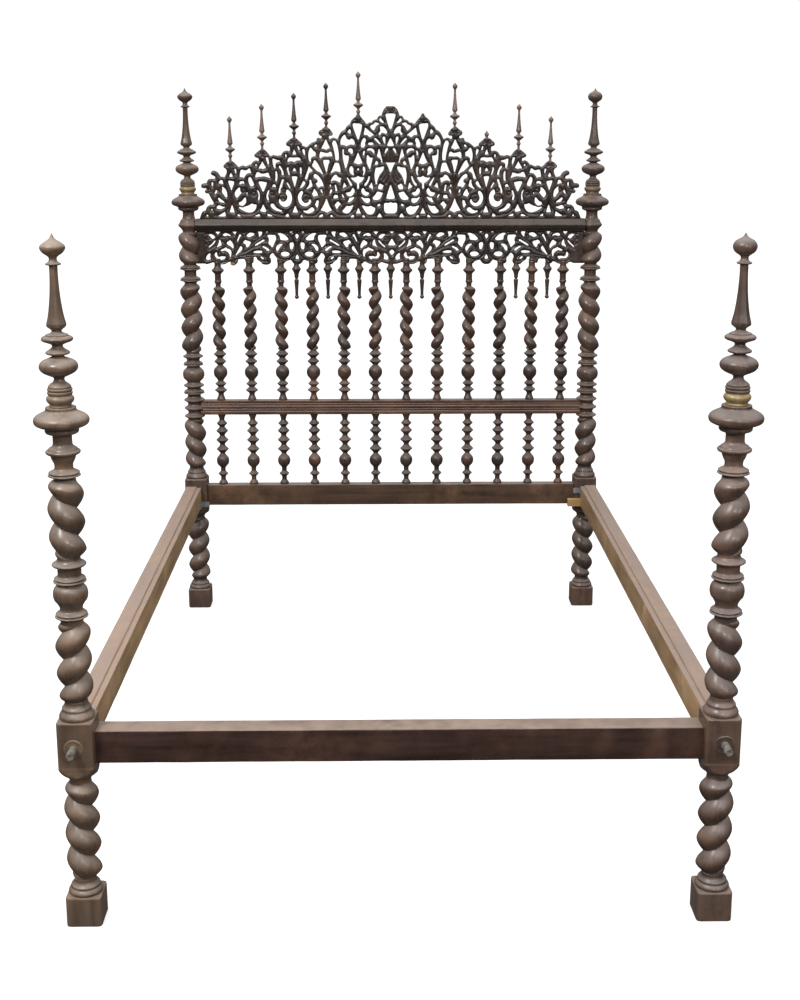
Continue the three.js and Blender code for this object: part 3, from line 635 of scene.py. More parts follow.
LOWER_SPINDLE = [(438.4, 14.6), (438.4, 14.6), (444, 14.6), (449, 12), (454, 8.4), (462, 8.4),
                 *bead(475, 16.8, 8.4, 10), (490, 8.4), (497, 8.8), *ball(521, 21.4, 8.5, 22)[1:-1],
                 (546, 8), *bead(562, 20.6, 9.4, 13), *bead(594, 20.6, 9.4, 13),
                 *bead(626, 20, 9.2, 13), *bead(652, 17.8, 9, 11), (668, 9), (676, 11), (681, 13.4),
                 (684.6, 13.4)]
PENDANT = [(-121, 0.3), (-119.4, 4), (-115.6, 7), (-111.6, 7), (-108.6, 5.2), (-100, 5), (-84, 5.8),
           (-66, 7.2), (-60, 7.6), (-56, 7.4), (-54, 5), (-52, 4.4), (-50, 5.4), (-47, 6.8), (-40, 7.2),
           (-33, 8.6), (-27, 11.4), (-22, 14.4), (-18, 14.8), (-14, 12), (-9, 9), (-4, 8.2), (3, 8)]
PENDANT_STUB = [(-8, 0.4), (-7, 5), (-5, 8), (-1, 9.4), (3, 9)]
CREST_FINIAL = [(0.3, 4.6), (0.3, 4.6), (5, 4), (10, 4), (13, 5.4), (17, 7.2), (21, 5.4), (25, 4),
                (29, 6.5), (34, 13), (38, 16.6), (41, 14.5), (45, 7), (50, 4.4), (53, 6), (57, 8.8),
                (62, 8.6), (72, 7.2), (90, 5.2), (110, 3.8), (122, 3.5), (126, 5), (130, 7.6),
                (134, 8.2), (138, 6.4), (142, 2.6), (145, 0.3)]
BROKEN_STUB = [(0, 5), (4, 4), (8, 5.5), (13, 7.6), (17, 6), (21, 3), (25, 0.5)]


def small_turning(name, knots, material, at):
    made = Turning(SMALL_SIDES)
    made.profile(knots, 3)
    return made.build(name, material, at)


twisted = [upper_spindle(-1).mesh("spindle_shape_a", SPINDLE),
           upper_spindle(1).mesh("spindle_shape_b", SPINDLE)]
plain = Turning(SMALL_SIDES)
plain.profile(LOWER_SPINDLE, 3)
plain = plain.mesh("turned_lower_spindle_01", SPINDLE)
for i in range(SPINDLE_COUNT):
    at = ((i - (SPINDLE_COUNT - 1) / 2) * SPINDLE_PITCH, HEAD_Y, 0)
    for level, mesh in (("upper", twisted[i % 2]), ("lower", plain)):
        spindle = place(f"turned_{level}_spindle_{i + 1:02d}", mesh, at)
        stands_for(spindle, f"{level}_spindle_{i + 1:02d}")

for i, slot_number in enumerate((-3, -2, -1, 0, 1, 4, 5)):
    drop = small_turning(f"pendant_{i + 1}", PENDANT, SPINDLE,
                         (slot_number * SPINDLE_PITCH, HEAD_Y, FRIEZE_BOTTOM))
    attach(drop, FRAME_BODY)
stub = small_turning("pendant_stub", PENDANT_STUB, PALE, (-5 * SPINDLE_PITCH, HEAD_Y, FRIEZE_BOTTOM))
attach(stub, FRAME_BODY)

for i, boss in enumerate((-5, -4, -3, -2, -1, 2, 4, 5)):
    at = (boss * BOSS_PITCH, HEAD_Y, CORNICE_TOP + BOSS_HEIGHTS[abs(boss)])
    spire = small_turning(f"turned_crest_finial_{i + 1}", CREST_FINIAL,
                          SPINDLE if boss in (-3, -2) else SPIRE, at)
    stands_for(spire, f"crest_finial_{i + 1:02d}")
for boss, name in ((1, "broken_finial_1"), (3, "broken_finial_3")):
    knots = BROKEN_STUB if boss == 3 else [(z * 0.5, r * 0.7) for z, r in BROKEN_STUB]
    at = (boss * BOSS_PITCH, HEAD_Y, CORNICE_TOP + BOSS_HEIGHTS[boss] - 1)
    broken = small_turning(name, knots, SPIRE, at)
    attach(broken, FRAME_BODY)


# ---- crest ----------------------------------------------------------------------------------
# Outlines are in millimetres across from the middle and up from the cornice. The board is the
# same on both sides; a middle opening is given by its right half only.
CREST_OUTLINE = """
    0 364 11 364 16 360 21 355 25 347 28 339 29 334 35 334 40 331 45 322 51 321 57 318 62 312 69 312 76
    308 81 309 84 315 89 320 94 326 99 332 102 339 106 342 110 339 113 332 119 327 126 321 130 314 133 307
    139 303 145 297 149 290 156 286 162 281 168 272 173 261 178 260 185 263 192 262 198 258 202 261 203
    267 199 270 194 269 190 274 191 280 196 286 199 291 205 295 209 298 215 298 220 295 226 289 232 286
    236 280 234 273 230 270 226 268 226 262 231 261 237 263 242 260 243 254 249 250 257 248 264 243 270
    238 275 233 280 234 287 237 291 236 291 244 297 250 303 255 309 261 314 263 321 263 327 260 333 255
    339 250 343 244 341 238 335 236 331 233 331 224 333 219 338 221 346 221 352 218 357 212 360 207 366
    206 374 205 382 207 388 207 394 204 398 206 402 212 408 219 415 225 421 227 427 225 434 220 442 214
    448 207 446 202 440 199 434 197 433 189 437 188 443 190 449 188 455 183 459 177 465 176 471 173 477
    171 484 173 491 173 497 169 502 170 507 175 513 181 520 187 526 189 533 187 540 183 546 178 550 172
    548 167 543 163 540 159 540 151 543 143 548 135 554 137 561 138 564 143 568 149 574 154 581 157 587
    156 592 150 590 144 584 141 579 138 578 133 581 130 586 130 593 131 600 129 604 124 607 116 612 116
    619 115 625 110 624 103 618 100 611 100 605 97 610 95 614 90 611 84 605 83 601 82 598 76 594 68 590 61
    586 54 586 49 590 46 597 46 603 43 608 38 611 32 613 27 618 26 624 22 628 14 631 6 634 -1
"""
CREST_MIDDLE = (
    """0 341 14 340 17 337 14 325 11 314 8 304 4 294 0 290; 0 263 4 256 8 248 11 240 9 237 0 236; 0 183
    17 183 12 177 7 166 3 155 0 149; 0 113 4 102 8 90 11 80 14 69 12 65 0 64; 0 54 7 51 14 52 20 51 22
    46 22 36 21 26 17 19 9 17 0 17""",
)
CREST_OPENINGS = (
    # from the middle boss to the first
    """19 311 26 318 32 326 35 326 37 319 34 315 27 311; 35 307 42 311 51 312 55 307 62 304 67 301 66 296
    60 289 54 286 51 292 47 299 42 304; 11 282 16 291 23 298 31 300 35 298 34 291 34 284 38 279 40 276
    36 271 33 271 31 276 27 279 20 277 14 275 12 278; 18 266 23 267 26 264 26 258 23 250 20 243 18 243
    17 252 17 261; 8 229 12 230 16 226 19 217 19 212 16 213 12 219 8 224; 32 242 37 250 43 257 49 262
    53 262 54 259 48 253 41 246 35 241; 53 272 62 279 72 287 80 294 84 296 85 289 87 281 88 275 85 271
    78 272 72 267 66 265 61 269; 83 262 88 262 93 256 97 247 98 238 96 232 91 231 86 234 83 240 84 246
    81 252 81 257; 54 243 59 247 65 248 71 247 75 243 70 240 62 239; 53 213 53 220 57 226 63 229 72
    229 78 225 76 221 70 222 65 221 60 217 56 212; 84 222 88 221 91 215 91 208 88 204 86 208 85 214;
    38 229 40 224 42 214 45 206 43 201 36 197 32 192 31 186 29 181 26 183 29 196 33 213 36 224; 41 183
    45 189 49 186 53 176 47 175 42 178; 58 199 66 199 71 203 75 208 78 205 79 194 79 184 76 175 72 166
    69 160 66 165 64 175 61 187; 93 304 97 307 104 309 112 309 120 310 124 306 123 297 119 286 114 272
    109 260 106 256 103 261 99 275 95 290; 63 120 66 113 72 106 70 102 65 100 59 94 58 99 59 107 61
    115; 68 140 72 138 76 128 82 118 87 113 86 107 82 107 77 113 72 122 69 131; 21 168 25 171 33 168
    42 167 49 166 51 158 53 148 53 135 51 122 49 112 45 112 44 121 41 131 36 142 30 150 24 158; 23 110
    28 111 33 115 38 112 41 105 42 98 37 96 29 96 25 102; 89 100 94 99 97 93 96 85 91 79 84 75 77 76
    72 80 70 84 77 87 83 89 86 94; 25 85 32 86 38 88 44 88 49 81 55 74 60 68 57 62 48 61 39 62 32 69
    28 78; 98 72 94 71 88 67 80 67 71 67 68 61 70 55 75 51 82 52 89 57 94 64; 33 47 39 49 45 43 41 39
    36 42; 51 31 53 36 59 38 65 42 72 40 80 40 88 42 95 44 93 37 88 29 82 20 76 15 68 13 60 15 54 22;
    37 19 41 12 46 5 37 4 28 5 32 12; 90 12 95 8 92 4 84 4 86 8""",
    # the first boss
    """107 218 103 207 97 193 92 182 99 179 107 177 115 180 122 183 120 187 115 197 110 210; 103 161 107
    166 111 161 107 156; 84 165 87 171 91 169 92 163 91 157 89 152 91 146 91 141 88 142 85 149 83 158;
    123 165 128 172 132 170 136 163 136 155 133 148 126 143 121 142 121 147 123 153 122 159; 86 134 92
    136 100 136 107 140 114 136 122 134 131 135 129 130 123 124 117 119 112 116 111 110 111 102 109 97
    106 97 104 103 104 112 102 117 96 120 91 127; 107 37 110 29 115 18 112 15 106 17 98 15 102 25""",
    # from the first boss to the second
    """131 288 135 291 139 286 142 281 138 279 134 275 131 276 130 281; 117 242 118 250 121 256 126 260
    130 260 133 257 138 257 143 260 146 266 149 273 154 271 160 264 164 255 165 246 164 240 157 240
    150 238 144 236 138 239 130 241 122 240; 124 214 124 222 126 227 132 229 138 227 140 222 138 219
    134 216 130 211 127 211; 155 227 158 224 158 208 157 195 154 181 150 166 147 163 143 174 139 188
    137 200 138 206 146 206 151 208 154 214 153 222; 144 137 145 134 141 125 137 116 133 107 129 107
    127 112 131 119 137 128; 153 119 156 111 158 102 157 98 151 103 144 106 149 112; 124 101 127 99
    130 93 134 88 141 86 148 85 145 78 140 74 132 73 125 78 120 85 119 93; 118 72 123 71 130 69 137 68
    139 61 143 55 139 53 132 56 125 62; 160 83 161 76 158 69 155 67 154 71 157 77; 122 48 129 43 138
    41 146 42 150 37 155 31 160 27 158 21 151 18 144 17 136 21 130 30 126 38; 123 13 128 11 134 5 127
    4 121 6; 181 253 187 254 191 249 192 244 189 233 186 220 183 205 182 193 178 190 172 190 170 196
    170 210 172 225 175 240; 170 181 177 183 184 182 188 172 193 160 198 150 195 149 190 151 182 155
    173 153 165 151 165 158 167 170; 177 142 182 144 188 140 193 133 198 124 196 121 189 125 181 124
    174 121 168 117 166 120 165 127 162 131 167 134 173 136; 181 113 185 109 184 103 183 97 183 90 177
    90 177 96 179 104; 200 114 202 108 201 104 195 106 197 109; 195 97 198 96 201 88 202 82 199 80 196
    86 193 91; 175 77 186 78 188 74 190 67 186 66 177 67 174 69; 172 55 177 56 181 50 186 45 183 39
    180 33 178 29 176 33 173 39 169 44 164 47 168 51; 197 13 201 9 199 5 189 6 192 9""",
    # the second boss
    """213 259 217 250 222 240 229 227 222 228 216 226 211 224 206 228 200 229 200 233 205 243 210 255;
    191 202 192 210 195 217 199 219 203 216 209 214 217 215 224 217 229 219 232 215 234 208 234 200
    231 196 227 199 222 202 216 203 209 202 202 203 197 203; 202 191 208 192 215 192 221 192 222 186
    220 176 217 166 214 155 211 150 209 156 207 166 204 178 201 186; 213 69 216 58 221 47 227 36 232
    28 229 26 222 25 216 22 211 19 206 22 198 26 194 27 198 33 204 45 209 58""",
    # from the second boss to the third
    """250 192 253 188 255 182 259 175 257 170 250 163 243 156 237 153 230 149 225 143 223 146 226 154
    231 164 238 177 244 186; 262 232 266 228 269 220 271 208 270 195 268 188 265 184 262 188 262 195
    258 201 252 203 247 204 246 209 246 215 250 219 254 221 257 226; 241 241 246 241 251 238 250 234
    246 233 243 235; 286 228 290 224 289 216 285 208 282 204 281 209 281 217 282 223; 303 237 306 235
    305 230 302 221 300 222 299 229; 269 171 272 163 276 152 280 141 283 132 281 128 277 129 273 134
    271 142 268 149 262 153 256 154 259 160 264 165; 250 147 254 142 254 137 251 132 245 130 241 124
    243 118 248 116 246 111 242 105 239 101 235 103 230 106 221 105 222 112 226 122 231 131 237 139
    243 144; 229 98 232 94 230 88 227 82 225 83 226 90; 263 128 268 127 268 118 270 110 275 102 280 96
    274 97 267 101 260 105 258 108 260 117; 287 124 291 119 295 111 301 100 297 100 290 104 283 112
    281 117 284 121; 252 98 255 94 256 88 260 82 259 78 254 71 248 74 240 76 241 81 245 89; 239 60 245
    60 248 52 251 45 247 40 244 34 241 39 239 48 238 55; 290 89 294 91 299 88 304 81 307 72 306 60 301
    49 292 42 282 40 272 44 265 51 263 57 266 63 269 64 270 59 274 54 280 51 287 53 293 60 295 68 293
    76 290 82; 261 38 266 35 272 30 280 26 288 27 290 23 284 20 275 17 264 19 256 24 252 30 256 35;
    226 15 231 13 237 9 240 5 231 5 224 8; 297 13 299 9 298 5 289 5""",
    # the third boss
    """317 227 320 219 323 211 320 209 312 209 310 212 314 220; 298 198 307 200 320 199 332 200 336 197
    340 189 338 184 331 187 324 187 317 184 311 188 303 190 295 189; 296 169 299 166 299 158 299 150
    297 143 294 146 293 155 293 163; 317 167 321 161 323 156 318 155 311 155 313 161; 337 169 341 166
    341 157 338 148 336 142 332 143 334 152 336 160 336 165; 307 137 316 139 326 138 326 133 323 122
    320 112 318 103 316 103 313 114 310 125; 316 44 320 34 325 23 323 20 308 20 308 24 312 33""",
    # from the third boss to the fourth
    """342 211 346 210 347 205 345 199 342 201; 388 197 389 190 388 180 386 170 382 164 378 166 379 173
    377 181 371 184 364 186 364 190 372 191 380 194; 365 174 369 170 367 165 362 159 360 151 359 144
    356 141 352 143 353 152 357 162 361 169; 376 156 380 155 380 146 380 135 381 125 377 121 374 127
    373 137 373 147; 379 108 382 112 387 113 390 108 392 103 386 104 380 102; 341 120 344 116 340 109
    335 101 330 98 333 107; 355 130 359 127 362 118 366 107 369 97 371 88 369 82 365 84 364 92 362 100
    358 104 357 112 354 120 352 126; 341 95 345 94 346 87 347 81 343 77 342 70 344 63 349 58 356 56
    362 58 365 63 368 66 370 61 370 54 366 47 359 41 350 38 341 40 333 46 328 56 326 68 328 80 332 88
    337 93; 389 50 395 49 398 45 396 38 390 32 382 27 372 24 363 23 358 26 365 29 374 33 380 38 385
    45; 403 95 406 90 410 80 411 70 408 61 404 59 403 66 405 73 404 81 401 90; 340 17 345 14 351 8 344
    6 336 7; 409 17 408 8 389 7 396 12""",
    # the fourth boss
    """403 200 411 200 410 193 407 184 404 175 401 176 400 186; 422 188 426 180 431 172 435 165 431 163
    426 164 421 161 416 164 410 165 412 170 417 178; 403 151 411 149 419 147 428 148 434 152 441 152
    444 146 447 138 445 134 438 136 428 137 418 138 409 136 400 133 396 134 400 142; 408 119 415 120
    424 122 435 122 436 117 432 108 428 99 424 91 421 87 418 92 414 101 410 111; 422 49 425 41 429 33
    434 25 429 24 422 22 414 23 412 27 418 39""",
    # from the fourth boss to the fifth
    """441 179 445 178 446 173 442 171 440 174; 462 137 467 135 470 130 469 120 466 111 463 105 458 106
    452 108 451 113 454 121 458 130; 464 165 469 163 474 159 480 158 487 160 493 160 495 156 497 148
    498 140 497 134 492 136 484 132 480 139 474 146 467 149 459 148 461 156; 443 98 441 91 438 83 437
    75 439 66 438 57 435 60 433 70 433 80 436 90; 475 88 477 84 476 79 473 80 473 86; 484 122 490 123
    497 121 500 115 497 111 491 115 485 114 482 115; 497 103 503 101 509 95 514 88 516 80 514 75 511
    70 508 68 502 74 497 80 492 85 496 90 497 96; 480 71 484 68 489 62 495 56 502 53 503 47 498 44 491
    42 484 46 479 53 478 62; 444 47 452 47 459 50 466 46 475 42 482 40 490 37 497 38 504 38 500 33 492
    28 484 24 475 21 467 20 458 22 450 28 445 37; 435 16 442 13 454 8 443 7 432 8; 507 17 508 8 493 7
    500 12""",
    # the fifth boss and the end scrolls
    """509 163 516 163 514 156 512 149 510 144 508 152; 526 152 529 146 533 138 526 136 519 138 523 145;
    516 122 525 124 535 125 536 120 533 110 529 100 527 92 525 93 521 104 517 114; 525 48 528 40 531
    30 534 22 526 20 517 21 520 33 523 42; 553 119 554 125 559 127 563 125 567 119 568 115 562 115 556
    113 552 112; 588 121 591 118 591 112 590 103 588 104 586 110 585 116; 577 96 579 90 581 83 579 79
    576 84 572 87 573 91; 541 88 544 95 549 101 555 105 558 104 556 97 558 90 556 84 551 77 547 71 543
    70 540 73 540 80; 568 70 572 66 569 60 564 54 557 53 548 52 553 58 560 63; 547 41 554 39 561 42
    569 44 575 40 577 34 571 32 564 31 557 33 551 36; 550 23 556 19 564 14 574 8 560 7 547 8 547 14;
    608 15 612 8 602 7; 587 26 592 32 597 34 594 29 590 25""",
)


# Carved lines on the face of the board, of which the mirror images are carved too.
CREST_GROOVES = (
    # shell and the two leaves under it
    """0 230 0 190; 5 226 8 190; 10 221 15 190; 0 187 17 187; 10 160 15 142 24 126; 16 164 22 148 32 132;
    5 148 9 132 16 116""",
    # doubled lines of the stems
    """102 252 103 224; 109 252 108 224; 103 92 105 40; 109 92 107 40; 207 150 209 74; 215 150 213 74;
    105 160 105 140; 316 262 316 232; 317 98 317 48; 421 228 421 204; 421 86 421 52; 526 92 526 52; 0
    16 18 14""",
    # the two great spirals
    """267 60 265 68 270 76 279 80 288 78 293 72; 368 62 370 70 364 77 355 80 347 77 343 70""",
    # long scrolls at the foot of the board
    """118 30 140 12 168 12; 92 30 72 8 46 10; 228 34 248 12 276 10; 196 34 176 14 152 12; 330 34 352 12
    372 14; 304 30 286 12 262 10; 434 36 452 18 478 14; 408 34 392 18 368 16; 538 34 556 14 580 12;
    514 34 500 18 482 14""",
)
CREST_CURLS = (
    """264 95 6; 353 92 6; 392 82 6; 452 82 6; 278 66 4; 357 67 4; 50 110 6; 80 96 6; 122 96 6; 150 110
    6; 62 250 5; 88 244 5; 30 288 5; 52 300 5; 136 284 5; 184 106 6; 236 110 6; 196 262 5; 228 262 5;
    282 228 5; 352 226 5; 486 92 6; 560 92 6; 576 52 6; 598 92 5""",
)


def circle(x, z, r):
    return [(x + r * math.cos(a), z + r * math.sin(a)) for a in np.linspace(0, 2 * math.pi, 9)]


def circles_of(table):
    """Circles from a table of texts: across, up and radius of each."""
    return [circle(*map(float, entry.split())) for text in table for entry in text.split(";")]


def mirrored(points):
    return [(-x, z) for x, z in points]


right_edge = numbers(CREST_OUTLINE)
crest = Fretwork(right_edge + mirrored(right_edge)[:0:-1], 2.1)
for half in lines_of(CREST_MIDDLE):
    crest.opening(half + mirrored(half)[-2:0:-1])
for line in lines_of(CREST_OPENINGS):
    crest.opening(line)
    crest.opening(mirrored(line))
carved_lines = lines_of(CREST_GROOVES) + circles_of(CREST_CURLS)
for i, boss_height in enumerate(BOSS_HEIGHTS):
    for way in (-1, 1):
        carved_lines.append(circle(i * BOSS_PITCH + way * 11, boss_height - 13, 4.4))
for line in carved_lines:
    crest.groove(line)
    crest.groove(mirrored(line))
crest.zs = crest.zs + CORNICE_TOP + GAP
board = crest.build("carved_crest", CARVED, HEAD_Y)
stands_for(board, "crest")


# ---- frieze ---------------------------------------------------------------------------------
# One unit runs from the heart, at 0, to the meeting of two volutes, at 316, and then turns back.
FRIEZE_EDGE = """
    0 -3 12 -3 22 -1 28 1 34 3 40 1 45 -3 60 -4 72 -3 80 0 87 4 93 5 97 0 105 -3 112 -2 117 5 118 13 128
    14 138 14 142 10 144 2 148 0 162 0 168 2 170 10 170 20 176 21 180 19 183 12 189 7 195 3 199 -2 204 -4
    214 -5 222 -3 227 2 228 9 226 16 224 22 227 28 232 33 236 33 241 26 246 20 249 14 248 5 252 0 256 -2
    268 -2 273 0 277 5 284 8 290 10 295 11 299 5 303 0 308 -3 316 -4
"""
FRIEZE_OPENINGS = (
    """0 82 4 76 8 69 12 62 10 58 0 58 -10 58 -12 62 -8 69 -4 76; 0 45 5 42 9 37 6 32 3 28 0 26 -3 28 -6
    32 -9 37 -5 42; -9 105 9 105 4 101 0 97 -4 101; 20 93 26 96 33 96 39 93 43 89 44 85 40 82 34 81 30
    85 26 90; 44 77 45 74 41 67 35 61 28 55 22 51 21 53 25 58 32 64 38 71; 44 105 63 105 58 100 53 94
    49 99; 57 79 61 76 64 69 65 62 62 58 56 56 50 52 48 54 52 60 55 68; 69 92 72 97 79 100 87 98 93 95
    98 90 92 90 86 92 80 90 73 90; 93 77 97 74 102 66 105 57 104 49 100 50 94 56 87 60 82 65 83 70 88
    73; 61 44 67 47 74 50 79 53 84 49 91 47 95 43 97 36 96 27 94 20 91 22 90 28 87 34 81 39 74 42 66
    40 62 41; 46 37 49 35 49 30 51 24 56 21 62 23 70 23 78 22 76 18 71 13 62 11 53 12 46 17 41 24 41
    31; 25 34 27 30 26 22 28 13 23 12 16 10 12 14 12 20 17 28; 101 105 117 105 113 99 109 94 106 99;
    126 97 130 94 131 90 127 87 123 80 119 71 116 72 118 80 122 90; 137 105 145 105 141 102; 128 58
    132 54 134 50 131 43 125 37 117 30 111 24 110 26 114 34 120 45; 136 68 139 73 145 77 150 75 158 73
    163 69 160 63 155 56 149 51 146 56 144 62 139 65; 147 91 152 96 159 101 167 101 174 99 175 95 170
    91 166 90 161 87 154 86; 185 105 200 105 201 101 198 94 192 88 189 88 189 95 187 102; 204 79 208
    77 207 73 200 70 192 65 184 60 176 57 174 59 182 66 193 72; 212 105 226 105 220 103 215 102; 199
    55 204 57 211 54 218 50 224 44 222 41 216 41 210 47 203 51; 168 37 175 40 186 42 198 41 200 38 198
    34 186 33 174 34; 192 22 197 22 202 19 206 15 201 13 196 16; 216 91 223 94 233 94 244 93 246 87
    246 79 243 71 239 63 236 55 232 52 228 57 223 62 220 67 222 74 222 81 219 87; 251 98 258 100 267
    98 276 93 284 86 288 80 285 77 278 75 269 76 261 77 259 83 258 90; 246 44 245 50 248 56 253 61 260
    64 267 64 268 61 263 57 258 51 255 45 251 41 248 40; 261 32 265 36 273 38 284 37 289 33 292 30 287
    25 279 22 270 22 263 26; 291 64 295 68 302 70 305 64 304 55 301 47 295 45 292 50; 287 105 304 105
    299 102 294 102; 310 90 313 96 316 97 319 96 322 90 316 79; 316 30 311 21 310 15 316 13 322 15 321
    21""",
)
FRIEZE_GROOVES = (
    """110 8 118 16 140 19 166 22; 122 22 140 26 166 30 190 31; 126 30 146 40 160 48 172 54; 128 35 138
    46 143 57; 104 28 110 50 116 66; 106 60 112 78 118 92; 37 36 35 22 42 9 56 3 72 4 84 12 88 22 84
    34 74 42; 14 96 28 101 42 97 49 88 48 78; 22 46 40 56 50 70 54 84; 60 84 72 88 86 86 96 80; 70 72
    76 66 80 58; 246 62 258 70 272 71 280 63 281 53 276 45 268 45; 243 44 246 28 256 17 272 12 290 15
    304 26 310 42 309 62 302 80 290 94 272 101; 164 27 190 29 206 24 216 14 218 4; 188 14 200 8 214 6;
    176 52 198 60 216 58 228 50 234 42; 160 58 176 72 194 84 208 96; 150 4 170 4; 150 9 168 10; 148 15
    168 15""",
)
FRIEZE_CURLS = (
    """58 31 5; 20 82 5; 21 66 5; 271 55 4; 212 76 5; 177 87 5; 247 85 4""",
)
FRIEZE_MIDDLE = 4  # the carving's middle is a little to the right
FRIEZE_END = 646
END_BLOCK = 27
FRIEZE_CARVED_END = FRIEZE_END - END_BLOCK + 4

half = numbers(FRIEZE_EDGE)
unit = half + [(2 * FRIEZE_UNIT - u, v) for u, v in half[-2:0:-1]]
low_edge = [(u + FRIEZE_MIDDLE + turn * 2 * FRIEZE_UNIT, v) for turn in (-2, -1, 0, 1) for u, v in unit]
low_edge = [(x, v) for x, v in low_edge if abs(x) < FRIEZE_END - END_BLOCK]
height = CORNICE_BOTTOM - FRIEZE_BOTTOM
left_end = [(-FRIEZE_END, height), (-FRIEZE_END, -1), (END_BLOCK - FRIEZE_END, -1)]
frieze = Fretwork(left_end + low_edge + mirrored(left_end)[::-1], 1.8)


def moved_units(lines):
    """The lines in each unit of the frieze, without those that would reach the plain end blocks."""
    for axis, direction in ((-2, 1), (0, -1), (0, 1), (2, -1)):
        for line in lines:
            moved = [(axis * FRIEZE_UNIT + direction * u + FRIEZE_MIDDLE, v) for u, v in line]
            if max(abs(x) for x, v in moved) < FRIEZE_CARVED_END:
                yield moved


for line in moved_units(lines_of(FRIEZE_OPENINGS)):
    frieze.opening(line)
for line in moved_units(lines_of(FRIEZE_GROOVES) + circles_of(FRIEZE_CURLS)):
    frieze.groove(line, 4.2, 3.8)
frieze.zs = frieze.zs + FRIEZE_BOTTOM
board = frieze.build("carved_frieze", CARVED, HEAD_Y)
stands_for(board, "frieze")


# ---- rails and cornice ------------------------------------------------------------------------
def rounded(outline, radius):
    """The outline with each corner replaced by a short arc."""
    corners = np.array(outline, float)
    out = []
    for i, corner in enumerate(corners):
        before, after = corners[i - 1], corners[(i + 1) % len(corners)]
        a, b = before - corner, after - corner
        reach = min(radius, np.linalg.norm(a) * 0.45, np.linalg.norm(b) * 0.45)
        a, b = corner + a / np.linalg.norm(a) * reach, corner + b / np.linalg.norm(b) * reach
        for t in (0, 0.3, 0.7, 1):
            out.append((1 - t) ** 2 * a + 2 * t * (1 - t) * corner + t * t * b)
    return out


WAVES = (0.011, 0.023, 0.041, 0.067)  # how quickly the wear changes along a rail, in radians per mm


def bar(name, section, low, high, along, material, radius, wear=0.35, *, seed):
    """A straight moulding along x or y with slightly worn edges; section points are (across, up)."""
    outline = np.array(rounded(section, radius))
    stations = np.concatenate([[low], np.arange(low + 3, high - 3, 30), [high]])
    random = np.random.default_rng(seed)
    n, points = len(outline), []
    phase = random.uniform(0, 6, (4, n))
    for station in stations:
        waver = sum(np.sin(station * f + shift) for f, shift in zip(WAVES, phase)) / 4
        inward = outline - outline.mean(0)
        inward /= np.linalg.norm(inward, axis=1)[:, None]
        moved = outline - inward * (wear * (1 + waver))[:, None]
        fixed = np.full(n, station)
        across, up = moved.T
        points.append(np.stack([fixed, across, up] if along == "x" else [across, fixed, up], 1))
    faces = walls(len(stations) - 1, n)
    faces += [tuple(range(n - 1, -1, -1)), tuple(range((len(stations) - 1) * n, len(stations) * n))]
    thing = mesh_object(name, np.concatenate(points), faces, material, sharp=30)
    loose = bmesh.new()
    loose.from_mesh(thing.data)
    bmesh.ops.recalc_face_normals(loose, faces=loose.faces)
    loose.to_mesh(thing.data)
    loose.free()
    return thing


def rectangle(near, far, low, high):
    return [(near, low), (far, low), (far, high), (near, high)]


def both_sides(knots, base):
    """A headboard section that is the same in front and behind; knots are (half depth, height)."""
    front = [(HEAD_Y - d, base + z) for d, z in knots]
    return front + [(HEAD_Y + d, base + z) for d, z in reversed(knots)]


inner = POST_X - HALF_BLOCK - GAP
foot = bar("waxed_foot_rail", rectangle(FRONT_Y - 14, FRONT_Y + 38, RAIL_TOP - 69.5, RAIL_TOP + 2.5),
           -inner, inner, "x", RAIL, 2.4, seed=2)
stands_for(foot, "foot_rail")
head = bar("waxed_head_rail", rectangle(HEAD_Y - 18, HEAD_Y + 18, HEAD_RAIL_TOP - 72, HEAD_RAIL_TOP),
           -inner, inner, "x", HEAD_RAIL, 2.4, seed=3)
stands_for(head, "head_rail")

MID_SECTION = [(17, 0), (17, 10), (13.5, 12.5), (15, 15), (15, 18), (13.5, 20.5), (17, 23), (17, 29),
               (13.5, 31.5), (15, 34), (15, 36.5), (13.5, 39), (16.5, 41.5), (16.5, 48)]
middle = bar("reeded_mid_rail", both_sides(MID_SECTION, MID_RAIL_BOTTOM), -POST_X + 22, POST_X - 22, "x",
             MID, 1.0, 0.15, seed=4)
stands_for(middle, "mid_rail")

CORNICE_SECTION = [(17, CORNICE_BOTTOM), (18, 1309), (22, 1312), (27, 1317), (30, 1322), (33, 1324),
                   (33, 1328), (31, 1331), (24, 1342), (21, CORNICE_TOP)]
cornice = bar("moulded_cornice", both_sides(CORNICE_SECTION, 0), -POST_X + 24, POST_X - 24, "x", CORNICE,
              1.4, 0.15, seed=5)
stands_for(cornice, "cornice")

# From the inner lower edge outwards; the inner part of the top is rebated.
SIDE_SECTION = [(652, 366), (703, 366), (703, 438), (667.5, 438), (666, 434), (652, 434)]
for word, side in (("left", -1), ("right", 1)):
    section = [(side * x, z) for x, z in SIDE_SECTION]
    rail = bar(f"side_rail_board_{word}", section, FRONT_Y + HALF_BLOCK + GAP, HEAD_Y - HALF_BLOCK - GAP,
               "y", SIDE_LEFT if side < 0 else SIDE_RIGHT, 1.8, seed=6 + side)
    stands_for(rail, f"side_rail_{word}")


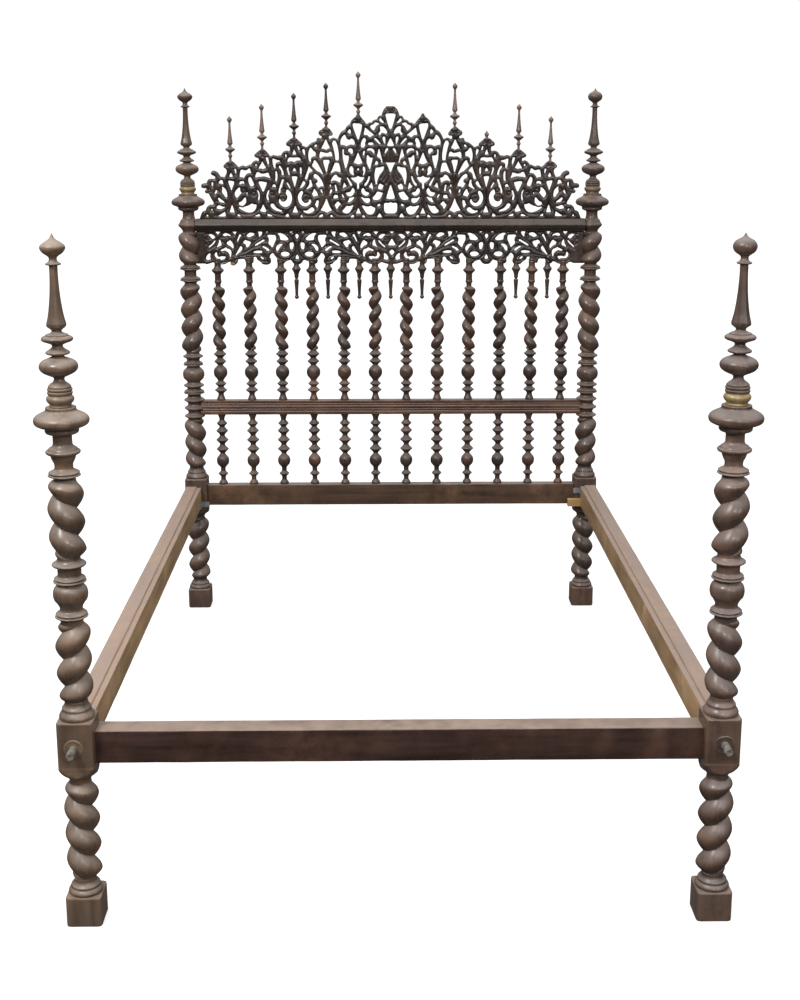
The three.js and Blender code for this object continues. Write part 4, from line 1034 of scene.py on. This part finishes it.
# ---- bolts and corner fittings ------------------------------------------------------------------
BOLT_PROFILE = [(0, 7.5), (0, 7.5), (1, 8.2), (3, 8.9), (8, 8.6), (14, 9), (22, 8.7), (30, 9), (35, 8.8),
                (37, 9), (37, 9), (37.5, 12), (37.5, 12), (38.2, 12), (38.2, 12)]
BOLT_HOLE_LIP = [(-1, 21), (-1, 21), (0.1, 20.6), (1, 18.8), (1, 17.2), (0.3, 14), (0.2, 10)]
BOLT_X = POST_X + 3
BOLT_HEIGHT = 406
BOLT_REACH = 37
for word, side in (("left", -1), ("right", 1)):
    bolt = Turning(SMALL_SIDES)
    bolt.profile(BOLT_PROFILE)
    made = bolt.build(f"bolt_end_{word}", IRON,
                      (side * BOLT_X, FRONT_Y - HALF_BLOCK - BOLT_REACH, BOLT_HEIGHT))
    made.rotation_euler = (-math.pi / 2, 0, 0)
    stands_for(made, f"bed_bolt_{word}")
    mark = small_turning(f"bolt_hole_lip_{word}", BOLT_HOLE_LIP, POST_LEFT if side < 0 else POST_RIGHT,
                         (side * BOLT_X, FRONT_Y - HALF_BLOCK, BOLT_HEIGHT))
    mark.rotation_euler = (math.pi / 2, 0, 0)
    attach(mark, FRAME_BODY)

for name, finish in (("angle_plate_left", ZINC), ("angle_plate_right", ZINC),
                     ("corner_block_right", PALE)):
    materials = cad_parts[name].data.materials
    materials.clear()
    materials.append(finish)


# ---- floor, light and camera ----------------------------------------------------------------
floor_material, _, floor_shader = new_material("pale_floor")
floor_shader.inputs["Base Color"].default_value = (0.5, 0.5, 0.5, 1)
floor_shader.inputs["Emission Color"].default_value = (1, 1, 1, 1)
floor_shader.inputs["Emission Strength"].default_value = 0.6
floor_shader.inputs["Roughness"].default_value = 0.9
floor_shader.inputs["Specular IOR Level"].default_value = 0.1
REACH = 30000
floor = mesh_object("floor", [(x * REACH, y * REACH, 0) for x, y in ((-1, -1), (1, -1), (1, 1), (-1, 1))],
                    [(0, 1, 2, 3)], floor_material)
floor.visible_diffuse = False
floor.visible_glossy = False

# A white surround for the camera; the bed itself is lit by a sky that darkens towards the floor.
world = bpy.data.worlds.new("studio")
world.use_nodes = True
tree = world.node_tree
sky_direction = node(tree, "ShaderNodeTexCoord").outputs["Generated"]
sky_height = node(tree, "ShaderNodeSeparateXYZ", {0: sky_direction}).outputs["Z"]
ramp = node(tree, "ShaderNodeValToRGB", {"Fac": ranged(tree, sky_height, -1, 1)})
for position, level in ((0.46, 0.05), (0.56, 0.16), (0.7, 0.36), (1.0, 1.0)):
    stop = ramp.color_ramp.elements.new(position)
    stop.color = (level, level, level * 1.02, 1)
ramp.color_ramp.elements.remove(ramp.color_ramp.elements[0])
ramp.color_ramp.elements.remove(ramp.color_ramp.elements[-1])
dim = node(tree, "ShaderNodeBackground", {"Color": ramp.outputs["Color"], "Strength": 1.7})
white = tree.nodes["Background"]
white.inputs["Color"].default_value = (1, 1, 1, 1)
white.inputs["Strength"].default_value = 1.05
for_camera = node(tree, "ShaderNodeLightPath").outputs["Is Camera Ray"]
seen = node(tree, "ShaderNodeMixShader", {0: for_camera, 1: dim.outputs[0], 2: white.outputs[0]})
tree.links.new(seen.outputs[0], tree.nodes["World Output"].inputs["Surface"])
bpy.context.scene.world = world


def softbox(name, at, aim, size, watts):
    lamp = bpy.data.lights.new(name, "AREA")
    lamp.shape = "DISK"
    lamp.size = size
    lamp.energy = watts
    thing = bpy.data.objects.new(name, lamp)
    thing.location = at
    thing.rotation_mode = "QUATERNION"
    thing.rotation_quaternion = (Vector(aim) - Vector(at)).to_track_quat("-Z", "Y")
    bpy.context.scene.collection.objects.link(thing)


softbox("key", (-1.9, -2.9, 3.9), (0, -0.2, 0.9), 1.2, 118)
softbox("fill", (2.6, -4.2, 2.2), (0, 0, 0.9), 1.8, 28)
softbox("window", (0.6, -4.4, 2.9), (0, 0.2, 0.9), 0.4, 34)

camera_data = bpy.data.cameras.new("photographer")
camera_data.sensor_width = 36
camera_data.lens = 50.95
camera_data.shift_y = -0.0673
camera_data.clip_end = 200
camera = bpy.data.objects.new("photographer", camera_data)
YAW, PITCH = 0.0156, 0.2199
camera.location = (-0.0429, -3.7379, 1.6778)
camera.rotation_mode = "QUATERNION"
forward = Vector((math.sin(YAW) * math.cos(PITCH), math.cos(YAW) * math.cos(PITCH), -math.sin(PITCH)))
camera.rotation_quaternion = forward.to_track_quat("-Z", "Y")
bpy.context.scene.collection.objects.link(camera)
bpy.context.scene.camera = camera
bpy.context.scene.view_settings.view_transform = "Standard"
